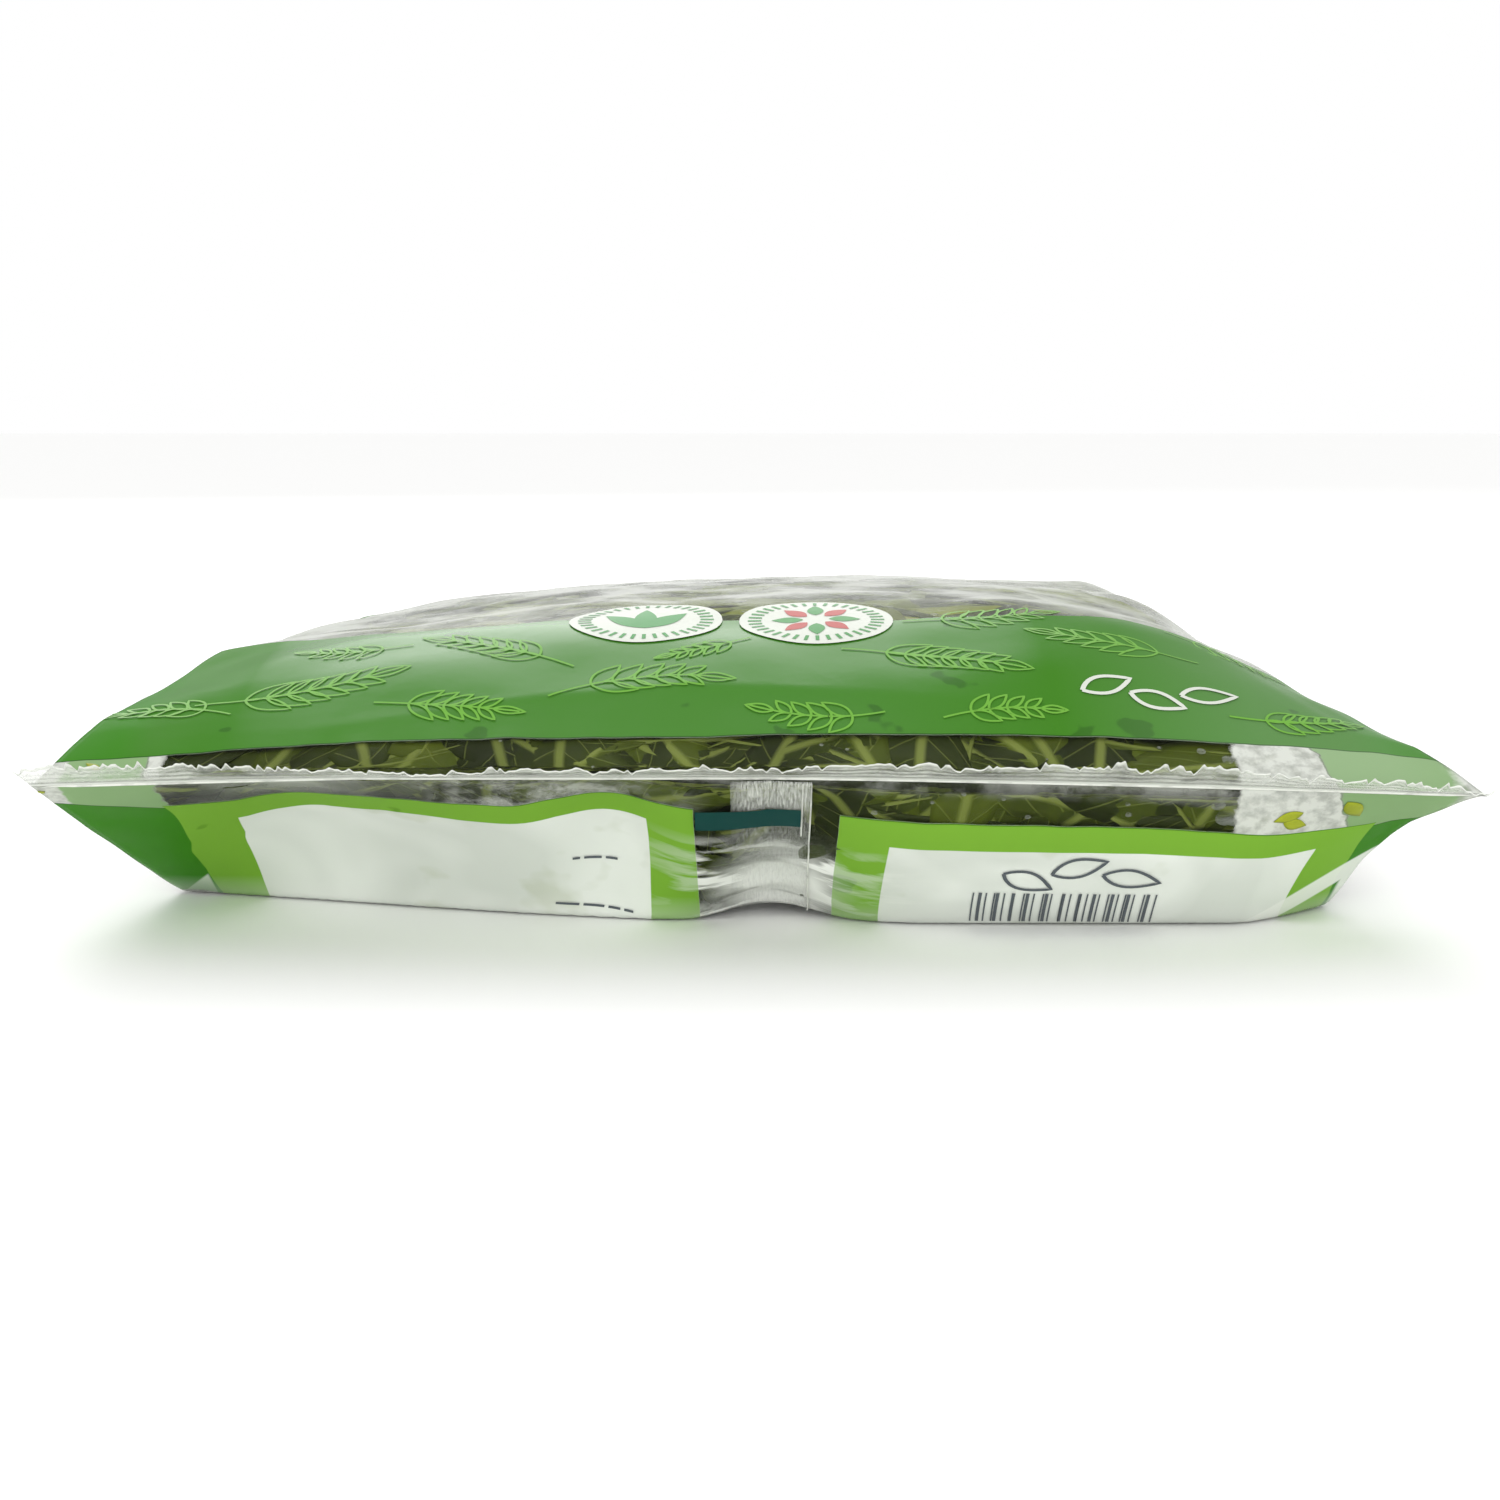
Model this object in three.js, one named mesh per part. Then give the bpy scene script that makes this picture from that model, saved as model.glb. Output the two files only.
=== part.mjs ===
// A sealed pillow bag of salad leaves that lies on its back, as one closed solid.
// X runs along the end seals, Y from the near seal to the far one, and Z is up.
// The solid is a loft of closed sections that stand across Y, and every section is a crown
// on top, a side down to the lower crease, and a back that comes down to the floor.
import * as THREE from 'three';

// Driving dimensions, in millimetres.
const FLAT_WIDTH = 197;
const SEAL_TO_SEAL = 232;
const SEAL_WIDTH = 9;
const SEAL_THICKNESS = 0.8;
const NEAR_SEAL_HEIGHT = 25;
const FAR_SEAL_HEIGHT = 22;
const CROWN_HEIGHT = 21;
const CROWN_LOSS = 4;
const FIRST_SLOPE = 0.585;
const SLOPE_BREAK = 17;
const SLOPE_FADE = 19;
const FAR_FADE = 75;
const FILLING_LENGTH = 60;
const SIDE_BULGE = 1.2;
const LEFT_DIP = 2.4;

// Creases, each a list of [distance behind the near seal, value].
const RIGHT = {
  topX: [[0, 98.5], [20, 90], [40, 81.5], [60, 74.5], [80, 68.5], [98, 64], [115, 60], [150, 66],
    [190, 80], [216, 91.5], [232, 98.5]],
  topZ: [[0, 0], [20, 4], [40, 8], [60, 11.2], [80, 14.6], [98, 17.8], [115, 19.6], [150, 14],
    [190, 8], [216, 3], [232, 0]],
  footX: [[0, 98.5], [10, 91], [20, 87.5], [32, 86], [60, 86], [170, 86], [205, 88.5], [232, 98.5]],
  widest: [[0, 98.5], [20, 90.5], [40, 87.5], [60, 87], [170, 87.5], [205, 89.5], [232, 98.5]],
};
const LEFT = {
  topX: [[0, 98.5], [25, 92], [50, 84], [85, 79], [120, 77.5], [155, 77.5], [190, 83.5],
    [216, 92.5], [232, 98.5]],
  topZ: [[0, 0], [25, 6.8], [50, 12.6], [85, 12.4], [120, 11], [155, 9.8], [190, 7.5],
    [216, 3.2], [232, 0]],
  footX: [[0, 98.5], [25, 94.2], [47, 90.1], [62, 87.5], [90, 86.5], [170, 86], [205, 89],
    [232, 98.5]],
  widest: [[0, 98.5], [25, 94.2], [47, 90], [62, 88], [90, 87.5], [170, 87], [205, 90],
    [232, 98.5]],
};

// Upward tilt of each end seal, in degrees, as [place along the seal, angle].
const NEAR_TILT = [[-98.5, 18], [-75, 20], [-45, 12], [-20, 13], [20, 20], [60, 23], [98.5, 14]];
const FAR_TILT = [[-98.5, 12], [-60, 18], [-10, 14], [30, 20], [98.5, 12]];

// Steps of the loft.
const TOP_STEPS = 15;
const SIDE_STEPS = 6;
const HALF_STEPS = 2 * TOP_STEPS + SIDE_STEPS;
const FINE = 5;
const SMOOTHING_PASSES = 9;
const STATIONS = [0, 3, 6, 10, 14, 18, 22, 26, 30, 35, 40, 46, 52, 60, 70, 82, 95, 108, 121, 134,
  147, 160, 172, 182, 190, 197, 203, 208, 213, 217, 221, 225, 228, 230, 232];

const clamp = (value) => Math.min(1, Math.max(0, value));
const ramp = (value, from, to) => clamp((value - from) / (to - from));
const bump = (value, centre, width) => Math.exp(-(((value - centre) / width) ** 2));

function ease(value, from, to) {
  const t = ramp(value, from, to);
  return t * t * (3 - 2 * t);
}

// The value at a distance, on the straight lines through a list of keys.
function track(keys, distance) {
  const next = Math.max(1, keys.findIndex(([at]) => at >= distance));
  const [from, first] = keys[next - 1];
  const [to, last] = keys[next];
  return first + (last - first) * ramp(distance, from, to);
}

// Height of the seal plane, which the ends of both seals sag below.
function plane(x, distance) {
  const level = NEAR_SEAL_HEIGHT + (FAR_SEAL_HEIGHT - NEAR_SEAL_HEIGHT) * distance / SEAL_TO_SEAL;
  const nearSag = 1.2 * ramp(-x, 55, 98) + 2.4 * ramp(x, 0, 98) ** 1.3;
  const farSag = 2 * ramp(Math.abs(x), 40, 98);
  return level - nearSag * (1 - ramp(distance, 0, 14)) - farSag * (1 - ramp(SEAL_TO_SEAL - distance, 0, 14));
}

// Height of the crown over the seal plane at the middle of a section.
function crown(distance) {
  const past = Math.max(0, distance - SLOPE_BREAK);
  const climb = Math.min(distance, SLOPE_BREAK) + SLOPE_FADE * (1 - Math.exp(-past / SLOPE_FADE));
  const near = climb * FIRST_SLOPE / (FIRST_SLOPE * (SLOPE_BREAK + SLOPE_FADE));
  const far = 1 - (1 - ramp(SEAL_TO_SEAL - distance, 0, FAR_FADE)) ** 2.6;
  return (CROWN_HEIGHT - CROWN_LOSS * ease(distance, 85, 185)) * Math.min(near, far);
}

// How far the back has come down from the seal plane to the floor, from 0 to 1. Under the near
// seal it bulges forward where leaves press on it, and the middle is pinched by the back seam.
function descent(x, distance) {
  const side = ramp(Math.abs(x), 66, 92);
  const bulge = Math.min(1, 0.85 * bump(x, -66, 17) + 0.8 * bump(x, -21, 11)
    + 0.45 * bump(x, -42, 12) + 0.35 * bump(x, 4, 12));
  const reach = 24 + 23 * ramp(-x, 10, 88) ** 1.2 + 14 * ramp(x, 70, 88) ** 1.3 + 5 * bump(x, 2, 10);
  const t = ramp(distance, 0, reach);
  const near = (1 - bulge) * (1 - (1 - t) ** (1.5 - 0.4 * side)) + bulge * t ** 2.2;
  const farReach = 30 + 14 * (x / 88) ** 2;
  const back = 1 - (1 - ramp(SEAL_TO_SEAL - distance, 0, farReach)) ** (1.6 - 0.5 * side);
  return near * back;
}

// One half of a section, from the middle of the crown round to the middle of the back.
function halfSection(distance, side) {
  const crease = side > 0 ? RIGHT : LEFT;
  const filled = Math.min(1, distance / FILLING_LENGTH, (SEAL_TO_SEAL - distance) / FILLING_LENGTH);
  const topX = track(crease.topX, distance);
  const topRise = track(crease.topZ, distance);
  const footX = track(crease.footX, distance);
  const midX = track(crease.widest, distance) + SIDE_BULGE * filled;
  const rise = Math.max(crown(distance), topRise);
  const power = 4.2 - 1.2 * filled;
  const film = SEAL_THICKNESS / 2;
  const topZ = plane(side * topX, distance) + topRise + film;
  const footZ = plane(side * footX, distance) * (1 - descent(side * footX, distance)) - film;
  const midZ = plane(side * topX, distance) + 0.35 * (topZ + footZ - 2 * plane(side * topX, distance));
  const curve = new THREE.QuadraticBezierCurve(
    new THREE.Vector2(side * topX, topZ),
    new THREE.Vector2(side * (2 * midX - (topX + footX) / 2), 2 * midZ - (topZ + footZ) / 2),
    new THREE.Vector2(side * footX, footZ),
  );
  const points = [];
  for (let i = 0; i < TOP_STEPS * FINE; i += 1) {
    const u = i / (TOP_STEPS * FINE);
    const x = side * u * topX;
    const dip = LEFT_DIP * filled * Math.max(0, -x / 60);
    const z = plane(x, distance) + topRise + (rise - topRise - dip) * (1 - u ** power) + film;
    points.push(new THREE.Vector2(x, z));
  }
  points.push(...curve.getPoints(SIDE_STEPS * FINE).slice(0, -1));
  for (let i = TOP_STEPS * FINE; i >= 0; i -= 1) {
    const x = side * (i / (TOP_STEPS * FINE)) * footX;
    const z = plane(x, distance) * (1 - descent(x, distance)) - film;
    points.push(new THREE.Vector2(x, Math.max(0, z)));
  }
  return points;
}

// A whole closed section, rounded at its creases where the bag is full.
function section(distance) {
  const right = halfSection(distance, 1);
  const left = halfSection(distance, -1).reverse();
  let points = [...right, ...left.slice(1, -1)];
  const fullness = Math.min(ramp(distance, 14, 90), ramp(SEAL_TO_SEAL - distance, 10, 80));
  const pull = 0.5 * (0.12 + 0.88 * fullness) ** 2;
  for (let pass = 0; pass < SMOOTHING_PASSES; pass += 1) {
    const last = points;
    points = last.map((point, i) => {
      const before = last[(i + last.length - 1) % last.length];
      const after = last[(i + 1) % last.length];
      return before.clone().add(after).multiplyScalar(pull / 2).addScaledVector(point, 1 - pull);
    });
  }
  const kept = points.filter((point, i) => i % FINE === 0);
  return kept.map((point) => new THREE.Vector3(point.x, distance, Math.max(0, point.y)));
}

// A row across an end seal at a part of its width, beyond the line where the bag opens out.
// The seal narrows towards its right end, where it curls.
function sealRow(root, part, tilts, direction) {
  return root.map((point) => {
    const x = THREE.MathUtils.clamp(point.x, -FLAT_WIDTH / 2, FLAT_WIDTH / 2);
    const angle = THREE.MathUtils.degToRad(track(tilts, x));
    const out = part * SEAL_WIDTH * (1 - 0.7 * ramp(direction * -x, 84, FLAT_WIDTH / 2));
    const step = new THREE.Vector3(0, direction * out * Math.cos(angle), out * Math.sin(angle));
    return point.clone().add(step);
  });
}

// Closes the end of the loft along the thin edge of a seal.
function capEdge(triangles, ring, count, flip) {
  const half = count / 2;
  for (let j = -half / 2; j < half / 2; j += 1) {
    const above = [ring + (count + j) % count, ring + (count + j + 1) % count];
    const below = [ring + (half - j) % count, ring + (half - j - 1) % count];
    const faces = [[above[0], above[1], below[1]], [above[0], below[1], below[0]]];
    for (const [a, b, c] of faces) {
      if (a !== b && b !== c && a !== c) triangles.push(...(flip ? [a, c, b] : [a, b, c]));
    }
  }
}

function bagGeometry() {
  const body = STATIONS.map(section);
  const nearRoot = body[0];
  const farRoot = body[body.length - 1];
  const rings = [
    sealRow(nearRoot, 1, NEAR_TILT, -1),
    sealRow(nearRoot, 0.5, NEAR_TILT, -1),
    ...body,
    sealRow(farRoot, 0.5, FAR_TILT, 1),
    sealRow(farRoot, 1, FAR_TILT, 1),
  ];
  const count = 2 * HALF_STEPS;
  const triangles = [];
  for (let r = 0; r < rings.length - 1; r += 1) {
    for (let j = 0; j < count; j += 1) {
      const a = r * count + j;
      const b = r * count + (j + 1) % count;
      triangles.push(a, b, a + count, b, b + count, a + count);
    }
  }
  capEdge(triangles, 0, count, true);
  capEdge(triangles, (rings.length - 1) * count, count, false);
  const geometry = new THREE.BufferGeometry().setFromPoints(rings.flat());
  geometry.setIndex(triangles);
  geometry.computeBoundingBox();
  const box = geometry.boundingBox;
  geometry.translate(-(box.min.x + box.max.x) / 2, -(box.min.y + box.max.y) / 2, -box.min.z);
  geometry.computeVertexNormals();
  return geometry;
}

const film = new THREE.MeshStandardMaterial({ color: '#6f9a58', roughness: 0.35, metalness: 0 });
const bag = new THREE.Mesh(bagGeometry(), film);
bag.name = 'bag';

const saladBag = new THREE.Group();
saladBag.add(bag);

export default saladBag;
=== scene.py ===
"""A sealed bag of rocket leaves that lies on its back with the printed front up.

The film is one closed ring of points carried from the near end seal to the far one. Each ring
is a crown, two sides and a back, and its size follows the distance behind the near seal. All
that lies on or under the film, such as print, leaves and drops, is placed by two lengths along
the film: `s`, round the bag from the middle of the front, and `v`, from the near seal. Lengths
are in millimetres and a mesh turns them to metres.
"""

import bmesh
import bpy
import numpy as np
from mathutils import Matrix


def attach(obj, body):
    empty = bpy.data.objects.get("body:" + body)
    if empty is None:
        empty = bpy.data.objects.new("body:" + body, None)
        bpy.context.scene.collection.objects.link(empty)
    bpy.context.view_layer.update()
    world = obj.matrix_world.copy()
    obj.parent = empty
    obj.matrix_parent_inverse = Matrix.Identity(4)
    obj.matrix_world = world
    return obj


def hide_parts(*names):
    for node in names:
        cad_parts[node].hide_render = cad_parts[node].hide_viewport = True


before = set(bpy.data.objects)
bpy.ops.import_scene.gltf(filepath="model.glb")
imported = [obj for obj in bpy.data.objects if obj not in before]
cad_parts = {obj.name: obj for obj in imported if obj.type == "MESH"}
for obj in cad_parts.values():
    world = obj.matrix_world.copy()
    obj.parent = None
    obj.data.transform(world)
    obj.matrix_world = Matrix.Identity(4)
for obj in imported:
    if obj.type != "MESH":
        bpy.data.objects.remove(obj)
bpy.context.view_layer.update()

# Driving dimensions of the bag, in millimetres.
FLAT_WIDTH = 197.0
SEAL_TO_SEAL = 232.0
SEAL_WIDTH = 9.0
NEAR_SEAL_HEIGHT = 25.0
FAR_SEAL_HEIGHT = 22.0
CROWN_HEIGHT = 21.0
CROWN_LOSS = 4.0
SLOPE_BREAK = 17.0
SLOPE_FADE = 19.0
FAR_FADE = 75.0
FILLING_LENGTH = 60.0
SIDE_BULGE = 1.2
LEFT_DIP = 2.4
HALF_ROUND = 198.0
FRONT_TRUE = 88.0
BACK_TRUE = 84.0
FLOOR_GAP = 0.3
FILM = 0.4
INNER_FACE = 0.1
SEAL_HALF_THICKNESS = 0.09
SEAM_LEFT = -4.1
SEAM_RIGHT = 7.0
SEAL_BEAD = 0.3
SEAM_BEAD = 0.13
MILLIMETRE = 0.001

# Creases, each as distances behind the near seal and the values there.
RIGHT = {
    "top_x": ([0, 20, 40, 60, 80, 98, 115, 150, 190, 216, 232],
              [98.5, 90, 81.5, 74.5, 68.5, 64, 60, 66, 80, 91.5, 98.5]),
    "top_z": ([0, 20, 40, 60, 80, 98, 115, 150, 190, 216, 232],
              [0, 4, 8, 11.2, 14.6, 17.8, 19.6, 14, 8, 3, 0]),
    "foot_x": ([0, 10, 20, 32, 60, 170, 205, 232], [98.5, 91, 87.5, 86, 86, 86, 88.5, 98.5]),
    "widest": ([0, 20, 40, 60, 170, 205, 232], [98.5, 90.5, 87.5, 87, 87.5, 89.5, 98.5]),
}
LEFT = {
    "top_x": ([0, 25, 50, 85, 120, 155, 190, 216, 232],
              [98.5, 92, 84, 79, 77.5, 77.5, 83.5, 92.5, 98.5]),
    "top_z": ([0, 25, 50, 85, 120, 155, 190, 216, 232],
              [0, 6.8, 12.6, 12.4, 11, 9.8, 7.5, 3.2, 0]),
    "foot_x": ([0, 25, 47, 62, 90, 170, 205, 232], [98.5, 94.2, 90.1, 87.5, 86.5, 86, 89, 98.5]),
    "widest": ([0, 25, 47, 62, 90, 170, 205, 232], [98.5, 94.2, 90, 88, 87.5, 87, 90, 98.5]),
}

# Upward tilt of each end seal, in degrees, at places along the seal.
NEAR_TILT = ([-98.5, -75, -45, -20, 20, 60, 98.5], [23, 21, 12, 13, 20, 23, 14])
FAR_TILT = ([-98.5, -60, -10, 30, 98.5], [12, 18, 14, 20, 12])

# Layout of the print, in millimetres along the film.
CLEAR_STRIP = 9.5
BAND_END = 44.0
FRAME_TOP = 8.4
FIELD_TOP = 13.9
FRAME_OUTER = 85.9
FRAME_INNER = 10.2
FIELD_OUTER = 78.3
FIELD_INNER = 17.7
BAND_LAP = 0.6
PRINT_OFFSET = 0.9
PRINT_GATHER = 0.035
PRINT_EDGE = 0.05
BADGES = ((-17.0, 43.9), (8.5, 42.9))
BADGE_RADIUS = 11.5
BADGE_SQUASH = 0.87
FRONT_MARK = (45.5, 19.5)
BACK_MARK = (35.0, 18.0)
SENSOR_TOP = 6.9
SENSOR_FOOT = 11.2
SENSOR_LEFT = -9.0
SENSOR_RIGHT = SEAM_RIGHT - 1.3
RULES_START = 52
RULES_END = 205
RULES_STEP = 3.3
BARS_TOP = 22.6
BARS_FOOT = 31
BARS_END = 57.5

# Upright bars on the back: piece, width, first place across and mean step.
BARS = (("back_bars_fine", 0.22, 31.6, 1.35),
        ("back_bars_wide", 0.48, 32.2, 2.4))

# Widths of the printed lines, in millimetres.
SPRIG_LINE = 0.38
TICK_LINE = 0.55
FRONT_MARK_LINE = 0.7
BACK_MARK_LINE = 0.55
RULE_LINE = 0.5

# How far each printed layer stands off the film, in millimetres, so that none lies in another.
LINE_LIFT = 0.16
SPRIG_LIFT = 0.17
DISC_LIFT = 0.20
BADGE_LIFT = 0.26
SENSOR_LIFT = 0.62

# How far the print's cross edges lie in from their straight place, at places round the film. On
# the front the first list holds for the near edge of the band and the second for its far edge.
FRONT_NEAR_SKEW = ([-95, -82, -74, -55, -35, -8, 6, 33, 66, 85],
                   [-3.1, -3, -2.2, -1.5, -1, -0.9, -0.3, 0.2, 0.2, 1.2])
FRONT_SKEW = ([-100, -84, -72, -63, -55, -44, -31, -6, 21, 34, 41, 55, 100],
              [15, 13, 9.5, 5.2, 2.4, 1.3, 2.4, 0, -0.8, 1.3, 2, 4.6, 4])
BACK_SKEW = ([-86, -76, -70, -63, -55, -44, -30, -9, 9, 54, 80, 87],
             [2, 5.2, 5.2, 3.8, 0.6, 1.2, -1, -1.4, -0.6, -0.3, 1.8, 3])

# Where the back bulges forward under the near seal: how strong each bulge is, up to 1, and its
# middle and width along X.
BULGES = ((0.85, -66, 17), (0.8, -21, 11), (0.45, -42, 12), (0.35, 4, 12))

# Broad swells and hollows of the front: height, middle and width in s, middle and width in v.
SWELLS = ((2.4, 56, 24, 46, 22), (0.9, -52, 26, 44, 20), (1.1, -5, 45, 58, 15),
          (0.8, 36, 14, 78, 26), (-1.3, 88, 26, 40, 34), (-0.9, -66, 36, 62, 34))

# Pieces of the heap and of the water: name, count, seed, and stretches in s and in v. Leaves add
# how few of them are pale, stalks their darkest and palest tone, and drops their largest radius.
LEAVES = (("leaves_front", 250, 7, (-88, 88), (0, 240), 1.9),
          ("leaves_back", 110, 8, (112, 284), (0, 240), 1.9),
          ("leaves_near_end", 76, 9, (-74, 52), (2, 26), 2.4),
          ("leaves_under_seal", 60, 10, (142, 272), (2, 26), 2.2))
STALKS = (("leaf_stalks", 42, 17, (-84, 84), (4, 235), (0.4, 0.85)),
          ("stalks_near_end", 10, 18, (-76, 56), (2, 16), (0.3, 0.8)),
          ("stalks_under_seal", 8, 20, (142, 272), (2, 16), (0.3, 0.8)))
DROPS = (("drops", 200, 19, (-80, 86), (46, 150), 1.0),
         ("drops_near_end", 9, 27, (-80, 62), (2, 8.5), 0.5),
         ("drops_near_right", 16, 23, (60, 80), (1, 8.5), 1.8),
         ("drops_under_right", 18, 24, (118, 136), (1, 9), 2.4),
         ("drops_under_seal", 14, 25, (136, 276), (1, 7), 0.6))
CORE_START = 5
CORE_DEPTH = 3.2
LEAF_THICKNESS = 0.16
LEAF_CLEARANCE = 2.5
OFF_FLOOR = 0.25
VEIN_STEP = 5.2

# Crumbs of leaf in the wet corners: s and v of one end, turn in radians, length and width.
CRUMBS = ((118.0, 2.4, 2.2, 5.0, 2.6), (123.6, 4.6, 0.4, 4.2, 2.0), (126.0, 6.6, 2.9, 3.6, 2.2),
          (-100.7, 1.7, 0.6, 2.4, 1.3), (-90.0, 3.4, 2.4, 2.8, 1.2))

# Twigs of the front's print: s and v of the middle, turn in degrees, length and pairs of leaflets.
TWIGS = ((-84, 19, 168, 19, 4), (-66, 24, 12, 30, 6), (-60, 38, 172, 18, 4), (-44, 16, -8, 21, 5),
         (-38, 33, 150, 26, 6), (-17, 20, 8, 26, 5), (-8, 32, 205, 15, 4), (8, 15, 176, 19, 4),
         (25, 28, -14, 27, 6), (33, 45, 14, 24, 5), (34, 14, 6, 17, 4), (52, 35, 165, 25, 5),
         (76, 18, 14, 21, 5), (70, 42, -12, 19, 5))

# Fineness of the film's mesh. Its rings lie closer together as far as NEAR_RINGS_END.
TOP_STEPS = 88
SIDE_STEPS = 26
BACK_STEPS = 88
HALF_STEPS = TOP_STEPS + SIDE_STEPS + BACK_STEPS
SOFTENING_PASSES = 9
NEAR_RINGS = 88
NEAR_RINGS_END = 62
FAR_RINGS = 122

# The film's index of refraction, and settings of nodes that combine values. The PRODUCT of two
# masks is 1 where both are, HIGHER keeps the stronger, SCALED is input 0 times input 1 plus
# input 2, and OVER lays the colour in input 7 over that in input 6 where the mask in input 0 is 1.
FILM_IOR = 1.5
PRODUCT = {"operation": "MULTIPLY"}
HIGHER = {"operation": "MAXIMUM"}
SCALED = {"operation": "MULTIPLY_ADD"}
OVER = {"data_type": "RGBA"}

# Limits past every part of the bag: along X or Z in metres, and round the film in millimetres.
OUTSIDE = 0.2
ALL_ROUND = 400.0

# The photograph's view. Distances are in millimetres and the pitch is in degrees.
CAMERA_BACK = 330.0
CAMERA_HEIGHT = 75.0
CAMERA_LEFT = 1.4
CAMERA_PITCH = 7.97
FOCAL_PIXELS = 2469.0
FRAME_PIXELS = 1500.0

# Lights: name, place in metres, turn in radians, size in metres and power in watts.
LIGHTS = (("front_light", (0.0, -1.35, 0.22), (1.45, 0, 0), 0.8, 10.0),
          ("back_light", (-0.25, 0.95, 0.82), (-0.87, 0, 0.25), 1.0, 8.0))
FLOOR_REACH = 6.0


def ramp(value, start, end):
    """0 before start, 1 after end, and a straight line between."""
    return np.clip((value - start) / (end - start), 0.0, 1.0)


def ease(value, start, end):
    """A ramp with soft ends, 3t^2 - 2t^3."""
    t = ramp(value, start, end)
    return t * t * (3 - 2 * t)


def bump(value, centre, width):
    """A bell of height 1 round a centre."""
    return np.exp(-(((value - centre) / width) ** 2))


def ripple(a, b, scale, seed, waves=7):
    """Smooth noise from -1 to 1: a mean of plane waves with seeded directions and phases."""
    draw = np.random.default_rng(seed)
    total = 0.0
    for _ in range(waves):
        angle, phase = draw.uniform(0, np.pi), draw.uniform(0, 2 * np.pi)
        pitch = scale * draw.uniform(0.7, 1.6)
        along = a * np.cos(angle) + b * np.sin(angle)
        total = total + np.sin(2 * np.pi * along / pitch + phase)
    return total / waves * 1.6


def plane(x, d):
    """Height of the seal plane, which the ends of both seals sag below."""
    level = NEAR_SEAL_HEIGHT + (FAR_SEAL_HEIGHT - NEAR_SEAL_HEIGHT) * d / SEAL_TO_SEAL
    near_sag = 1.2 * ramp(-x, 55, 98) + 2.4 * ramp(x, 0, 98) ** 1.3
    far_sag = 2 * ramp(np.abs(x), 40, 98)
    return level - near_sag * (1 - ramp(d, 0, 14)) - far_sag * (1 - ramp(SEAL_TO_SEAL - d, 0, 14))


def crown(d):
    """Rise of the crown over the seal plane: a straight slope that fades to level, then falls."""
    past = np.maximum(0, d - SLOPE_BREAK)
    climb = np.minimum(d, SLOPE_BREAK) + SLOPE_FADE * (1 - np.exp(-past / SLOPE_FADE))
    near = climb / (SLOPE_BREAK + SLOPE_FADE)
    far = 1 - (1 - ramp(SEAL_TO_SEAL - d, 0, FAR_FADE)) ** 2.6
    return (CROWN_HEIGHT - CROWN_LOSS * ease(d, 85, 185)) * np.minimum(near, far)


def floor_reach(x):
    """Distance behind the near seal at which the back has come down to the floor."""
    return 24 + 23 * ramp(-x, 10, 88) ** 1.2 + 14 * ramp(x, 70, 88) ** 1.3 + 5 * bump(x, 2, 10)


def descent(x, d):
    """How far the back has come down from the seal plane to the floor, from 0 to 1."""
    side = ramp(np.abs(x), 66, 92)
    bulge = np.minimum(1, sum(share * bump(x, middle, width) for share, middle, width in BULGES))
    t = ramp(d / floor_reach(x), 0, 1)
    near = (1 - bulge) * (1 - (1 - t) ** (1.5 - 0.4 * side)) + bulge * t ** 2.2
    far_reach = 30 + 14 * (x / 88) ** 2
    far = 1 - (1 - ramp((SEAL_TO_SEAL - d) / far_reach, 0, 1)) ** (1.6 - 0.5 * side)
    return near * far


def half_rings(d, side):
    """Half of the rings at the distances d, from the front's middle to the back's middle.

    The front is a power curve over the width, the side is a quadratic curve through its widest
    place, and the back follows the descent to the floor.
    """
    crease = RIGHT if side > 0 else LEFT
    d = d[:, None]
    filled = np.minimum(1, np.minimum(d, SEAL_TO_SEAL - d) / FILLING_LENGTH)
    top_x, top_rise, foot_x, widest = (np.interp(d, *crease[key])
                                       for key in ("top_x", "top_z", "foot_x", "widest"))
    mid_x = widest + SIDE_BULGE * filled
    rise = np.maximum(crown(d), top_rise)
    film = 0.1 + (FILM - 0.1) * np.minimum(1, np.minimum(d, SEAL_TO_SEAL - d) / 6)
    top_level = plane(side * top_x, d)
    top_z = top_level + top_rise + film
    foot_z = plane(side * foot_x, d) * (1 - descent(side * foot_x, d)) - film
    mid_z = top_level + 0.35 * (top_z + foot_z - 2 * top_level)

    u = np.linspace(0, 1, TOP_STEPS + 1)[None, :-1]
    front_x = side * u * top_x
    dip = LEFT_DIP * filled * np.maximum(0, -front_x / 60)
    front_z = (plane(front_x, d) + top_rise + film
               + (rise - top_rise - dip) * (1 - u ** (4.2 - 1.2 * filled)))

    t = np.linspace(0, 1, SIDE_STEPS + 1)[None, :-1]
    pull_x = side * (2 * mid_x - (top_x + foot_x) / 2)
    pull_z = 2 * mid_z - (top_z + foot_z) / 2
    side_x = (1 - t) ** 2 * side * top_x + 2 * t * (1 - t) * pull_x + t ** 2 * side * foot_x
    side_z = (1 - t) ** 2 * top_z + 2 * t * (1 - t) * pull_z + t ** 2 * foot_z

    w = np.linspace(1, 0, BACK_STEPS + 1)[None, :]
    back_x = side * w * foot_x
    back_z = plane(back_x, d) * (1 - descent(back_x, d)) - film
    return (np.concatenate([front_x, side_x, back_x], 1),
            np.concatenate([front_z, side_z, np.maximum(0, back_z)], 1))


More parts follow.
